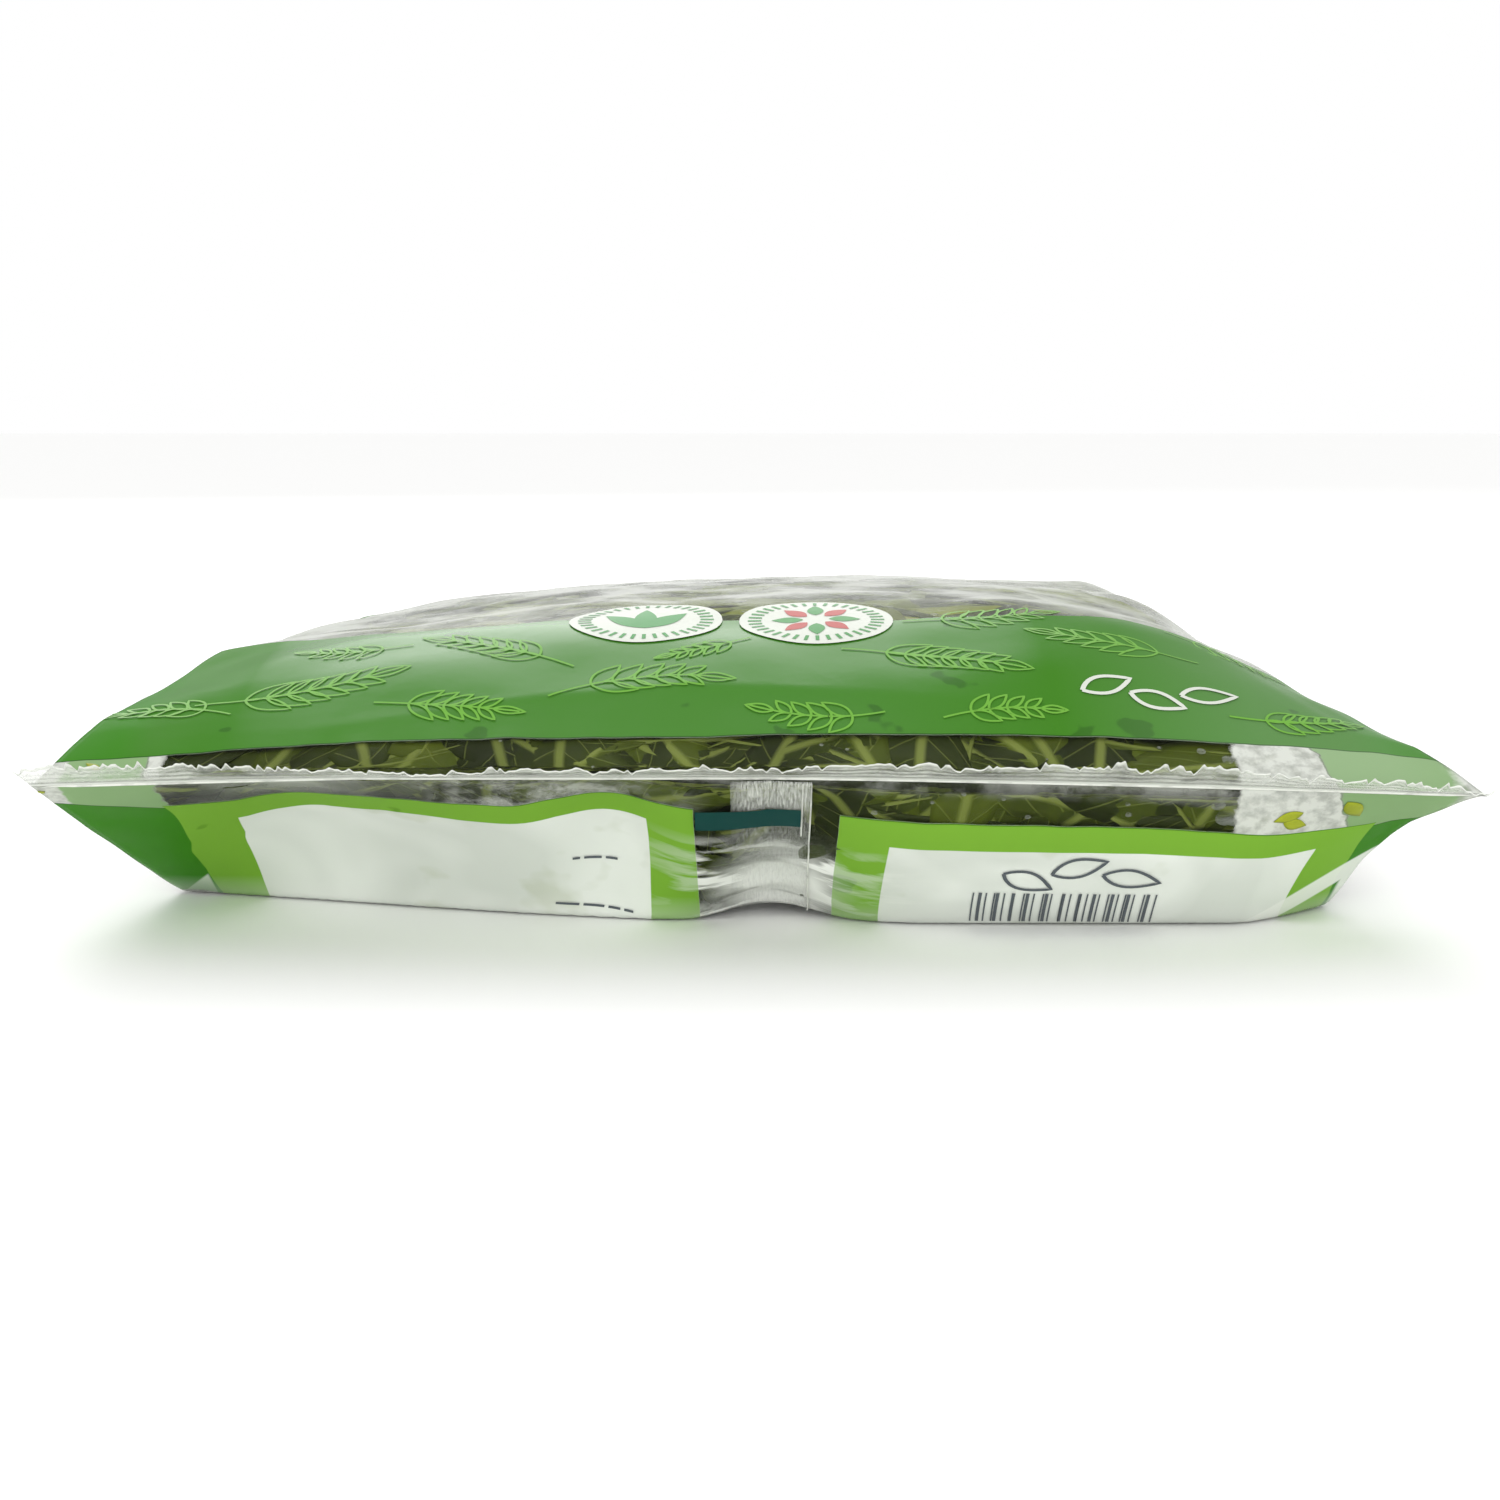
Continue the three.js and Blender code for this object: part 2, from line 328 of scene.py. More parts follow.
def rings(d):
    """Whole rings as points (rings, places round, 3), from the back's middle round by the left.

    Where the bag is full, each ring is softened by moving every point towards its neighbours.
    """
    right_x, right_z = half_rings(d, 1)
    left_x, left_z = half_rings(d, -1)
    x = np.concatenate([left_x[:, ::-1], right_x[:, 1:-1]], 1)
    z = np.concatenate([left_z[:, ::-1], right_z[:, 1:-1]], 1)
    full = np.minimum(ramp(d, 14, 90), ramp(SEAL_TO_SEAL - d, 10, 80))
    pull = 0.5 * (0.12 + 0.88 * full[:, None]) ** 2
    for _ in range(SOFTENING_PASSES):
        x = x * (1 - pull) + pull / 2 * (np.roll(x, 1, 1) + np.roll(x, -1, 1))
        z = z * (1 - pull) + pull / 2 * (np.roll(z, 1, 1) + np.roll(z, -1, 1))
    y = np.broadcast_to(d[:, None] - SEAL_TO_SEAL / 2, x.shape)
    return np.stack([x, y, np.maximum(0, z)], -1)


def lengths_round(points):
    """Lengths s round each ring, from -HALF_ROUND to HALF_ROUND, with the back's middle twice.

    They are true lengths out to FRONT_TRUE from the front's middle and to BACK_TRUE from the
    back's middle, and the sides between take up the rest evenly.
    """
    closed = np.concatenate([points, points[:, :1]], 1)
    steps = np.linalg.norm(np.diff(closed, axis=1), axis=2)
    run = np.concatenate([np.zeros((len(points), 1)), np.cumsum(steps, 1)], 1)
    front = run[:, HALF_STEPS:HALF_STEPS + 1]
    on_left = np.arange(run.shape[1]) < HALF_STEPS
    half = np.where(on_left, front, run[:, -1:] - front)
    gone = np.abs(run - front)
    left_over = half - FRONT_TRUE - BACK_TRUE
    side = FRONT_TRUE + (gone - FRONT_TRUE) * (HALF_ROUND - FRONT_TRUE - BACK_TRUE) / left_over
    back = HALF_ROUND - (half - gone)
    s = np.where(gone < FRONT_TRUE, gone, np.where(half - gone < BACK_TRUE, back, side))
    return np.where(on_left, -s, s)


def lengths_along(points):
    """Lengths v along the film from its first ring."""
    steps = np.linalg.norm(np.diff(points, axis=0), axis=2)
    return np.concatenate([np.zeros((1, points.shape[1])), np.cumsum(steps, 0)], 0)


def outward(points):
    """Unit normals of a tube of rings, from the steps along and round it."""
    along = np.gradient(points, axis=0)
    round_ = np.roll(points, -1, 1) - np.roll(points, 1, 1)
    normal = np.cross(round_, along)
    return normal / np.maximum(np.linalg.norm(normal, axis=2, keepdims=True), 1e-9)


def relief(s, v, far, height):
    """Height of folds and lumps over the smooth film.

    Lumps of leaves swell the full parts, with broad bells under the near end of the front. Fine
    puckers run out of each seal, the back seam draws the film in between two rows of creases, and
    slanted folds run in from the four corners. A crease bends the front where its slope breaks.
    """
    back = HALF_ROUND - np.abs(s)
    across = np.where(s < 0, -back, back)
    end = np.minimum(v, far)
    inner = ramp(end, 6, 34)
    free = ramp(height, 0.3, 5)
    lumps = (0.5 * ripple(s, v, 34, 3) + 0.22 * ripple(s, v, 13, 4)) * ramp(back, 0, 16)
    swell = sum(rise * bump(s, middle_s, width_s) * bump(v, middle_v, width_v)
                for rise, middle_s, width_s, middle_v, width_v in SWELLS)
    pucker = (bump(v, 3, 9) * ripple(s, v * 0.12, 7, 5) * 0.16
              + bump(far, 3, 9) * ripple(s, far * 0.12, 7, 6) * 0.2)
    seam = bump(across, 1.5, 13) * ramp(end, 11, 17) * (1 - ramp(end, 40, 60))
    ridges = 1 - 2.4 * np.abs(ripple(across * 0.5, end, 10, 8, 9))
    creases = ridges * (0.8 + 0.5 * ripple(across, end, 12, 15))
    drawn_in = -2.0 * bump(across, 1.5, 9) * bump(end, 38, 13)
    corner = bump(np.abs(s), 90, 14) * bump(end, 26, 16)
    folds = ripple(s + v * 0.55, v * 0.1, 9, 9)
    on_front = ramp(105 - np.abs(s), -6, 6)
    break_v = np.interp(s, [-60, -30, -10, 12, 30, 45], [12, 18.8, 20.6, 19.5, 18, 16])
    break_line = np.exp(-np.abs(end - break_v) / 4) * bump(s, -10, 46)
    return (lumps * inner * (0.2 + 0.8 * on_front) * free + swell + pucker + drawn_in
            + 0.45 * on_front * break_line
            + 0.4 * seam * creases * ramp(height, 0.2, 2) + 0.30 * corner * folds * free)


def print_lay(s, v, far):
    """Lengths that the print follows: s with the print's offset, and v and far less the skew.

    On the front the skew grows from nothing at the seal, and at the sides the two skews blend.
    Where the back lies on the floor, the film is gathered, so that its print is a little narrower.
    """
    back = HALF_ROUND - np.abs(s)
    across = np.where(s < 0, -back, back)
    on_back = ramp(np.abs(s), 100, 113)
    on_floor = ramp(np.minimum(v, far) - floor_reach(across), -14, 8)
    gathered = back * (1 + PRINT_GATHER * on_back * on_floor)
    s = np.where(s < 0, gathered - HALF_ROUND, HALF_ROUND - gathered)
    first, last = np.interp(s, *FRONT_NEAR_SKEW), np.interp(s, *FRONT_SKEW)
    back_skew = np.interp(across, *BACK_SKEW)
    corner = 3.4 * ramp(-across, 64, 78)
    near_v, far_v = (end - (back_skew + corner * ramp(end, 12, 20)) * on_back
                     - (first + (last - first) * ramp(end, 12, 42)) * (1 - on_back)
                     for end in (v, far))
    return s + PRINT_OFFSET, near_v, far_v


def seal_rows(x, part, tilts, direction):
    """Points of an end seal: x along it, and a part of its width beyond the bag's end."""
    root = SEAL_TO_SEAL if direction > 0 else 0.0
    angle = np.radians(np.interp(x, *tilts))
    out = part * SEAL_WIDTH * (1 - 0.7 * ramp(-direction * x, 84, FLAT_WIDTH / 2))
    y = root - SEAL_TO_SEAL / 2 + direction * out * np.cos(angle)
    return np.stack([x + 0 * y, y, plane(x, root) + out * np.sin(angle)], -1)


class FilmMap:
    """The film laid out flat: evenly spaced in s round the bag and in parts of its length."""

    RINGS = 320
    ROUND = 480
    ALONG = 420

    def __init__(self):
        points = rings(np.linspace(0, SEAL_TO_SEAL, self.RINGS))
        s = lengths_round(points)
        closed = np.concatenate([points, points[:, :1]], 1)
        even = np.linspace(-HALF_ROUND, HALF_ROUND, self.ROUND, endpoint=False)
        grid = self.spread(s, closed, even)
        run = lengths_along(grid)
        self.length = run[-1]
        parts = np.linspace(0, 1, self.ALONG)
        turned = self.spread((run / self.length).T, grid.transpose(1, 0, 2), parts)
        smooth = turned.transpose(1, 0, 2)
        smooth[..., 2] = np.maximum(FLOOR_GAP, smooth[..., 2])
        self.normal = outward(smooth)
        v = parts[:, None] * self.length[None, :]
        lift = relief(even[None, :], v, self.length[None, :] - v, smooth[..., 2])
        self.points = smooth + self.normal * lift[..., None]
        self.points[..., 2] = np.maximum(FLOOR_GAP, self.points[..., 2])

    @staticmethod
    def spread(lengths, points, places):
        """Points at the same places on every row, by one interpolation over all rows."""
        low, high = lengths[:, :1], lengths[:, -1:]
        rows = 2 * np.arange(len(lengths))[:, None]
        known = ((lengths - low) / (high - low) + rows).ravel()
        low_place = (places - lengths[0, 0]) / (lengths[0, -1] - lengths[0, 0])
        wanted = (low_place[None, :] + rows).ravel()
        out = [np.interp(wanted, known, points[..., k].ravel()) for k in range(3)]
        return np.stack(out, -1).reshape(len(lengths), len(places), 3)

    def full_length(self, s):
        """Length of the film from seal to seal at s."""
        column = (s + HALF_ROUND) / (2 * HALF_ROUND) * self.ROUND
        return np.interp(column % self.ROUND, np.arange(self.ROUND + 1),
                         np.append(self.length, self.length[0]))

    def at(self, s, v, lift=0.0):
        """Points at s and v, lifted off the film by a distance, by linear interpolation."""
        column = ((s + HALF_ROUND) / (2 * HALF_ROUND) * self.ROUND) % self.ROUND
        row = np.clip(v / self.full_length(s), 0, 1) * (self.ALONG - 1)
        j0 = np.floor(column).astype(int) % self.ROUND
        i0 = np.minimum(np.floor(row).astype(int), self.ALONG - 2)
        fj, fi = (column - np.floor(column))[..., None], (row - i0)[..., None]
        j1 = (j0 + 1) % self.ROUND
        result = []
        for field in (self.points, self.normal):
            near = field[i0, j0] * (1 - fj) + field[i0, j1] * fj
            far = field[i0 + 1, j0] * (1 - fj) + field[i0 + 1, j1] * fj
            result.append(near * (1 - fi) + far * fi)
        return result[0] + result[1] * np.asarray(lift)[..., None]


film_map = FilmMap()


def hex_colour(code):
    """Linear RGBA of an sRGB hex value."""
    channels = [int(code[i:i + 2], 16) / 255 for i in (1, 3, 5)]
    linear = [c / 12.92 if c <= 0.04045 else ((c + 0.055) / 1.055) ** 2.4 for c in channels]
    return (*linear, 1.0)


def grid_faces(rows, columns, wrap):
    """Corner numbers of the quads of a grid, row by row, with the last column joined if wrapped."""
    i = np.arange(rows - 1)[:, None] * columns
    j = np.arange(columns if wrap else columns - 1)[None, :]
    right = (j + 1) % columns
    quads = np.stack([i + j, i + right, i + columns + right, i + columns + j], -1)
    return quads.reshape(-1, 4)


def new_piece(name, points, faces, material, uv=None, values=None):
    """An object at the origin from points in millimetres and a list of face arrays."""
    mesh = bpy.data.meshes.new(name)
    flat = np.asarray(points, dtype=float).reshape(-1, 3) * MILLIMETRE
    mesh.from_pydata(flat.tolist(), [], [face for group in faces for face in group.tolist()])
    if uv is not None:
        layer = mesh.uv_layers.new(name="lay")
        layer.uv.foreach_set("vector", np.asarray(uv, dtype=np.float32).ravel())
    for key, array in (values or {}).items():
        attribute = mesh.attributes.new(key, "FLOAT", "POINT")
        attribute.data.foreach_set("value", np.asarray(array, dtype=np.float32).ravel())
    mesh.polygons.foreach_set("use_smooth", np.ones(len(mesh.polygons), dtype=bool))
    mesh.materials.append(material)
    piece = bpy.data.objects.new(name, mesh)
    bpy.context.scene.collection.objects.link(piece)
    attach(piece, "root")
    return piece


def tubes(name, points, material, uv=None, values=None):
    """Closed tubes from points (tubes, rings, places round, 3), with flat ends."""
    count, rows, columns = points.shape[:3]
    starts = np.arange(count)[:, None, None] * rows * columns
    sides = (grid_faces(rows, columns, True)[None] + starts).reshape(-1, 4)
    ring = np.arange(columns)[None, :] + starts[:, 0]
    if uv is not None:
        uv = np.concatenate([uv.reshape(-1, 2), np.zeros((2 * count * columns, 2))])
    faces = [sides, ring[:, ::-1], ring + (rows - 1) * columns]
    piece = new_piece(name, points, faces, material, uv, values)
    turned = bmesh.new()
    turned.from_mesh(piece.data)
    bmesh.ops.recalc_face_normals(turned, faces=turned.faces)
    turned.to_mesh(piece.data)
    turned.free()
    return piece


def sheets(name, points, material):
    """Open sheets from points (sheets, rows, columns, 3)."""
    count, rows, columns = points.shape[:3]
    starts = np.arange(count)[:, None, None] * rows * columns
    faces = (grid_faces(rows, columns, False)[None] + starts).reshape(-1, 4)
    return new_piece(name, points, [faces], material)


def add(tree, kind, settings=None, **inputs):
    """Adds a node, sets its properties, and sets or links its inputs, named by place or name.

    A node that is given as a value is linked from the first of its outputs that is in use.
    """
    node = tree.nodes.new(kind)
    for key, value in (settings or {}).items():
        setattr(node, key, value)
    for key, value in inputs.items():
        by_place = key[0] == "i" and key[1:].isdigit()
        socket = node.inputs[int(key[1:])] if by_place else node.inputs[key.replace("_", " ")]
        if isinstance(value, bpy.types.Node):
            value = next(output for output in value.outputs if output.enabled)
        if isinstance(value, bpy.types.NodeSocket):
            tree.links.new(value, socket)
        else:
            socket.default_value = value
    return node


def new_material(name):
    """A material with an empty tree."""
    material = bpy.data.materials.new(name)
    material.use_nodes = True
    material.node_tree.nodes.clear()
    return material, material.node_tree


def region(tree, *stretches):
    """1 where every value lies in its stretch, each given as value, low, high and softness."""
    mask = None
    for value, low, high, soft in stretches:
        opens = add(tree, "ShaderNodeMapRange", i0=value, i1=low - soft, i2=low + soft)
        closes = add(tree, "ShaderNodeMapRange", i0=value, i1=high + soft, i2=high - soft)
        inside = add(tree, "ShaderNodeMath", PRODUCT, i0=opens, i1=closes)
        mask = inside if mask is None else add(tree, "ShaderNodeMath", PRODUCT, i0=mask, i1=inside)
    return mask


def print_masks(tree):
    """Masks of the printed fields, from the film's own lay: s across and v along.

    The lay's U holds (s + HALF_ROUND) / (2 HALF_ROUND) and its V holds v / SEAL_TO_SEAL. The
    attribute `far` is the length from the far seal. Each field is a region of `back`, the
    distance from the back's middle, and `end`, the distance from the nearer seal.
    """
    lay = add(tree, "ShaderNodeUVMap", {"uv_map": "lay"})
    split = add(tree, "ShaderNodeSeparateXYZ", i0=lay)
    far = add(tree, "ShaderNodeAttribute", {"attribute_name": "far"}).outputs["Fac"]
    centred = add(tree, "ShaderNodeMath", {"operation": "SUBTRACT"}, i0=split.outputs["X"], i1=0.5)
    side = add(tree, "ShaderNodeMath", {"operation": "ABSOLUTE"}, i0=centred)
    back = add(tree, "ShaderNodeMath", SCALED, i0=side, i1=-2 * HALF_ROUND, i2=HALF_ROUND)
    near = add(tree, "ShaderNodeMath", PRODUCT, i0=split.outputs["Y"], i1=SEAL_TO_SEAL)
    end = add(tree, "ShaderNodeMath", {"operation": "MINIMUM"}, i0=near, i1=far)
    band = region(tree, (end, CLEAR_STRIP, BAND_END, PRINT_EDGE),
                  (back, FRAME_OUTER - BAND_LAP, 2 * HALF_ROUND, PRINT_EDGE))
    frames = region(tree, (back, FRAME_INNER, FRAME_OUTER, PRINT_EDGE),
                    (end, FRAME_TOP, SEAL_TO_SEAL, PRINT_EDGE))
    fields = region(tree, (back, FIELD_INNER, FIELD_OUTER, PRINT_EDGE),
                    (end, FIELD_TOP, SEAL_TO_SEAL, PRINT_EDGE))
    return band, frames, fields, end, back


def ear_masks(tree, place, end, back):
    """Milky and pale green parts of the clear strips at the bag's flat corners.

    They are stretches of X in metres, shaken by noise, and their right limit leans with the
    height Z. On the left the pale part reaches further in on the back, and on the front a milky
    gap lies inside it.
    """
    split = add(tree, "ShaderNodeSeparateXYZ", i0=place)
    ragged = add(tree, "ShaderNodeTexNoise", i0=place, Scale=420.0, Detail=3.0)
    shaken = add(tree, "ShaderNodeMath", SCALED, i0=ragged, i1=0.0022, i2=split.outputs["X"])
    lean = add(tree, "ShaderNodeMath", SCALED, i0=split.outputs["Z"], i1=0.45, i2=shaken)
    beyond = add(tree, "ShaderNodeMath", {"operation": "ABSOLUTE"}, i0=split.outputs["X"])
    at_end = add(tree, "ShaderNodeMapRange", i0=end, i1=16.0, i2=14.0)
    wet = region(tree, (shaken, 0.0662, OUTSIDE, 0.0003), (lean, 0.0, 0.0902, 0.0003))
    gap = region(tree, (shaken, -0.0829, -0.0806, 0.0003), (back, 98.0, ALL_ROUND, PRINT_EDGE))
    tips = region(tree, (beyond, 0.0935, OUTSIDE, 0.0008))
    right = region(tree, (lean, 0.0902, OUTSIDE, 0.0003), (shaken, 0.0, 0.0965, 0.001))
    left = region(tree, (shaken, -0.0940, -0.0829, 0.0003))
    under_left = region(tree, (shaken, -0.0940, -0.0812, 0.0003), (back, -1.0, 98.0, PRINT_EDGE))
    milky = add(tree, "ShaderNodeMath", HIGHER, i0=wet, i1=gap)
    milky = add(tree, "ShaderNodeMath", HIGHER, i0=milky, i1=tips)
    pale = add(tree, "ShaderNodeMath", HIGHER, i0=left, i1=under_left)
    pale = add(tree, "ShaderNodeMath", HIGHER, i0=pale, i1=right)
    return (add(tree, "ShaderNodeMath", PRODUCT, i0=milky, i1=at_end),
            add(tree, "ShaderNodeMath", PRODUCT, i0=pale, i1=at_end))


def seam_fog(tree, place, end, back):
    """Milky creases round the back seam: a round cloud and streaks that run across the seam.

    The cloud fades with the distance from a point on the seam. A streak is where a noise that is
    stretched four times along X passes a threshold.
    """
    sideways = add(tree, "ShaderNodeSeparateXYZ", i0=place).outputs["X"]
    across = add(tree, "ShaderNodeMath", PRODUCT, i0=sideways, i1=1 / MILLIMETRE)
    spot = add(tree, "ShaderNodeCombineXYZ", i0=across, i1=end)
    offset = add(tree, "ShaderNodeVectorMath", {"operation": "SUBTRACT"}, i0=spot, i1=(3.0, 30.0, 0.0))
    squeezed = add(tree, "ShaderNodeVectorMath", PRODUCT, i0=offset, i1=(0.12, 0.1, 0.0))
    reach = add(tree, "ShaderNodeVectorMath", {"operation": "LENGTH"}, i0=squeezed)
    cloud = add(tree, "ShaderNodeMapRange", i0=reach, i1=0.6, i2=1.5, i3=1.0, i4=0.0)
    stretched = add(tree, "ShaderNodeVectorMath", PRODUCT, i0=spot, i1=(0.06, 0.26, 1.0))
    grain = add(tree, "ShaderNodeTexNoise", i0=stretched, Scale=1.0, Detail=4.0,
                Roughness=0.55, Distortion=0.5)
    broken = add(tree, "ShaderNodeMapRange", i0=grain, i1=0.3, i2=0.48, i3=0.5, i4=1.0)
    cloud = add(tree, "ShaderNodeMath", PRODUCT, i0=cloud, i1=broken)
    rows = region(tree, (end, 17.0, 52.0, 3.0))
    columns = region(tree, (across, -15.0, 23.0, 7.0))
    streaks = add(tree, "ShaderNodeMapRange", i0=grain, i1=0.47, i2=0.58)
    streaks = add(tree, "ShaderNodeMath", PRODUCT, i0=streaks, i1=rows)
    streaks = add(tree, "ShaderNodeMath", PRODUCT, i0=streaks, i1=columns)
    fog = add(tree, "ShaderNodeMath", HIGHER, i0=cloud, i1=streaks)
    by_seam = region(tree, (back, -40.0, 40.0, PRINT_EDGE))
    return add(tree, "ShaderNodeMath", PRODUCT, i0=fog, i1=by_seam)


def corner_folds(tree, place, end):
    """Film folded over itself at the floor under both corners, as slanted stretches of X and Z."""
    split = add(tree, "ShaderNodeSeparateXYZ", i0=place)
    sideways = split.outputs["X"]
    lean_right = add(tree, "ShaderNodeMath", SCALED, i0=sideways, i1=-0.664, i2=split.outputs["Z"])
    lean_left = add(tree, "ShaderNodeMath", SCALED, i0=sideways, i1=-0.75, i2=split.outputs["Z"])
    slanted = region(tree, (lean_right, -0.0498, -0.0459, 0.0002), (sideways, 0.070, OUTSIDE, 0.001))
    rim = region(tree, (lean_right, -OUTSIDE, -0.0459, 0.0002), (sideways, 0.0845, OUTSIDE, 0.0003))
    left = region(tree, (lean_left, -OUTSIDE, 0.0672, 0.0002), (sideways, -OUTSIDE, -0.0832, 0.0002))
    folds = add(tree, "ShaderNodeMath", HIGHER, i0=slanted, i1=rim)
    folds = add(tree, "ShaderNodeMath", HIGHER, i0=folds, i1=left)
    fades = add(tree, "ShaderNodeMapRange", i0=end, i1=32.0, i2=54.0, i3=1.0, i4=0.0)
    starts = region(tree, (end, 13.0, SEAL_TO_SEAL, 2.0))
    fades = add(tree, "ShaderNodeMath", PRODUCT, i0=fades, i1=starts)
    return add(tree, "ShaderNodeMath", PRODUCT, i0=folds, i1=fades)


def root_mist(tree, place, end, back):
    """Whitish film in patches close to the seals, beside the seam and where the film turns in."""
    split = add(tree, "ShaderNodeSeparateXYZ", i0=place)
    patch = add(tree, "ShaderNodeTexNoise", i0=place, Scale=110.0, Detail=5.0, Roughness=0.7)
    patchy = add(tree, "ShaderNodeMapRange", i0=patch, i1=0.44, i2=0.62, i3=0.1, i4=1.0)
    root = add(tree, "ShaderNodeMapRange", i0=end, i1=4.0, i2=0.5, i3=0.0, i4=0.4)
    foot = add(tree, "ShaderNodeMapRange", i0=split.outputs["Z"], i1=0.0045, i2=0.0012,
               i3=0.0, i4=0.85)
    beside = region(tree, (split.outputs["X"], -0.048, -0.014, 0.008), (end, -1.0, 10.0, 1.0))
    beside = add(tree, "ShaderNodeMath", PRODUCT, i0=beside, i1=0.6)
    on_back = region(tree, (back, -40.0, 96.0, PRINT_EDGE))
    spread = add(tree, "ShaderNodeMath", HIGHER, i0=root, i1=foot)
    spread = add(tree, "ShaderNodeMath", HIGHER, i0=spread, i1=beside)
    spread = add(tree, "ShaderNodeMath", PRODUCT, i0=spread, i1=patchy)
    return add(tree, "ShaderNodeMath", PRODUCT, i0=spread, i1=on_back), foot


def print_colours(tree, place, end, back):
    """Colours of the three inks: the green of the bands, the light green of the frames and white.

    The greens are darker in a thin line along their near edge and darker in patches as painted
    shade of leaves that lie close behind the ink. The band's green is deeper on the bag's sides as
    painted shade. The white has painted shade of soft creases and painted olive shadows of those
    leaves.
    """
    # Painted shade: where leaves lie close behind the ink the greens are darker, and the white has painted
    # olive shadows.
    leaves_behind = add(tree, "ShaderNodeTexNoise", i0=place, Scale=70.0, Detail=3.0, Roughness=0.55)
    leaf_shade = add(tree, "ShaderNodeMapRange", i0=leaves_behind, i1=0.645, i2=0.66)
    shadow = add(tree, "ShaderNodeMapRange", i0=leaves_behind, i1=0.58, i2=0.66, i3=0.0, i4=0.5)
    # Painted shade: the band's green is deeper on the bag's sides.
    side_shade = region(tree, (back, -1.0, 112.0, 2.0))
    band_line = region(tree, (end, CLEAR_STRIP - 1, CLEAR_STRIP + 0.3, PRINT_EDGE))
    frame_line = region(tree, (end, FRAME_TOP - 1, FRAME_TOP + 0.25, PRINT_EDGE))
    green = add(tree, "ShaderNodeMix", OVER, i0=leaf_shade, i6=hex_colour("#3f7724"), i7=hex_colour("#34651f"))
    green = add(tree, "ShaderNodeMix", OVER, i0=side_shade, i6=green, i7=hex_colour("#387919"))
    green = add(tree, "ShaderNodeMix", OVER, i0=band_line, i6=green, i7=hex_colour("#2c561b"))
    light = add(tree, "ShaderNodeMix", OVER, i0=leaf_shade, i6=hex_colour("#75a637"), i7=hex_colour("#62932c"))
    light = add(tree, "ShaderNodeMix", OVER, i0=frame_line, i6=light, i7=hex_colour("#4c7a22"))
    # Painted shade of soft creases over the white.
    softly = add(tree, "ShaderNodeTexNoise", i0=place, Scale=26.0, Detail=2.0, Distortion=1.2)
    crease_shade = add(tree, "ShaderNodeMapRange", i0=softly, i1=0.38, i2=0.62)
    white = add(tree, "ShaderNodeMix", OVER, i0=crease_shade, i6=hex_colour("#dfe3dc"), i7=hex_colour("#ced3cb"))
    white = add(tree, "ShaderNodeMix", OVER, i0=shadow, i6=white, i7=hex_colour("#b8bfa9"))
    return green, light, white


def film_haze(tree, place, end, bumps):
    """Share of the clear film that is seen: its sheen at a low angle, and mist in the window.

    The sheen is a scaled Fresnel term, less where the mist has gaps, and the mist is noise.
    """
    mist = add(tree, "ShaderNodeTexNoise", i0=place, Scale=60.0, Detail=5.0, Roughness=0.65)
    mist_share = add(tree, "ShaderNodeMapRange", i0=mist, i1=0.42, i2=0.8, i3=0.0, i4=0.22)
    cleared = add(tree, "ShaderNodeMapRange", i0=mist, i1=0.4, i2=0.6, i3=0.55, i4=1.0)
    window = add(tree, "ShaderNodeMapRange", i0=end, i1=BAND_END - 8, i2=BAND_END + 4, i3=0.1, i4=1.0)
    haze = add(tree, "ShaderNodeMath", PRODUCT, i0=mist_share, i1=window)
    edge_on = add(tree, "ShaderNodeFresnel", IOR=FILM_IOR, Normal=bumps)
    low_angle = add(tree, "ShaderNodeMath", SCALED, i0=edge_on, i1=1.25, i2=-0.12)
    seen = add(tree, "ShaderNodeMath", SCALED, i0=low_angle, i1=cleared, i2=haze)
    return add(tree, "ShaderNodeClamp", i0=seen, i1=0.01, i2=0.8)


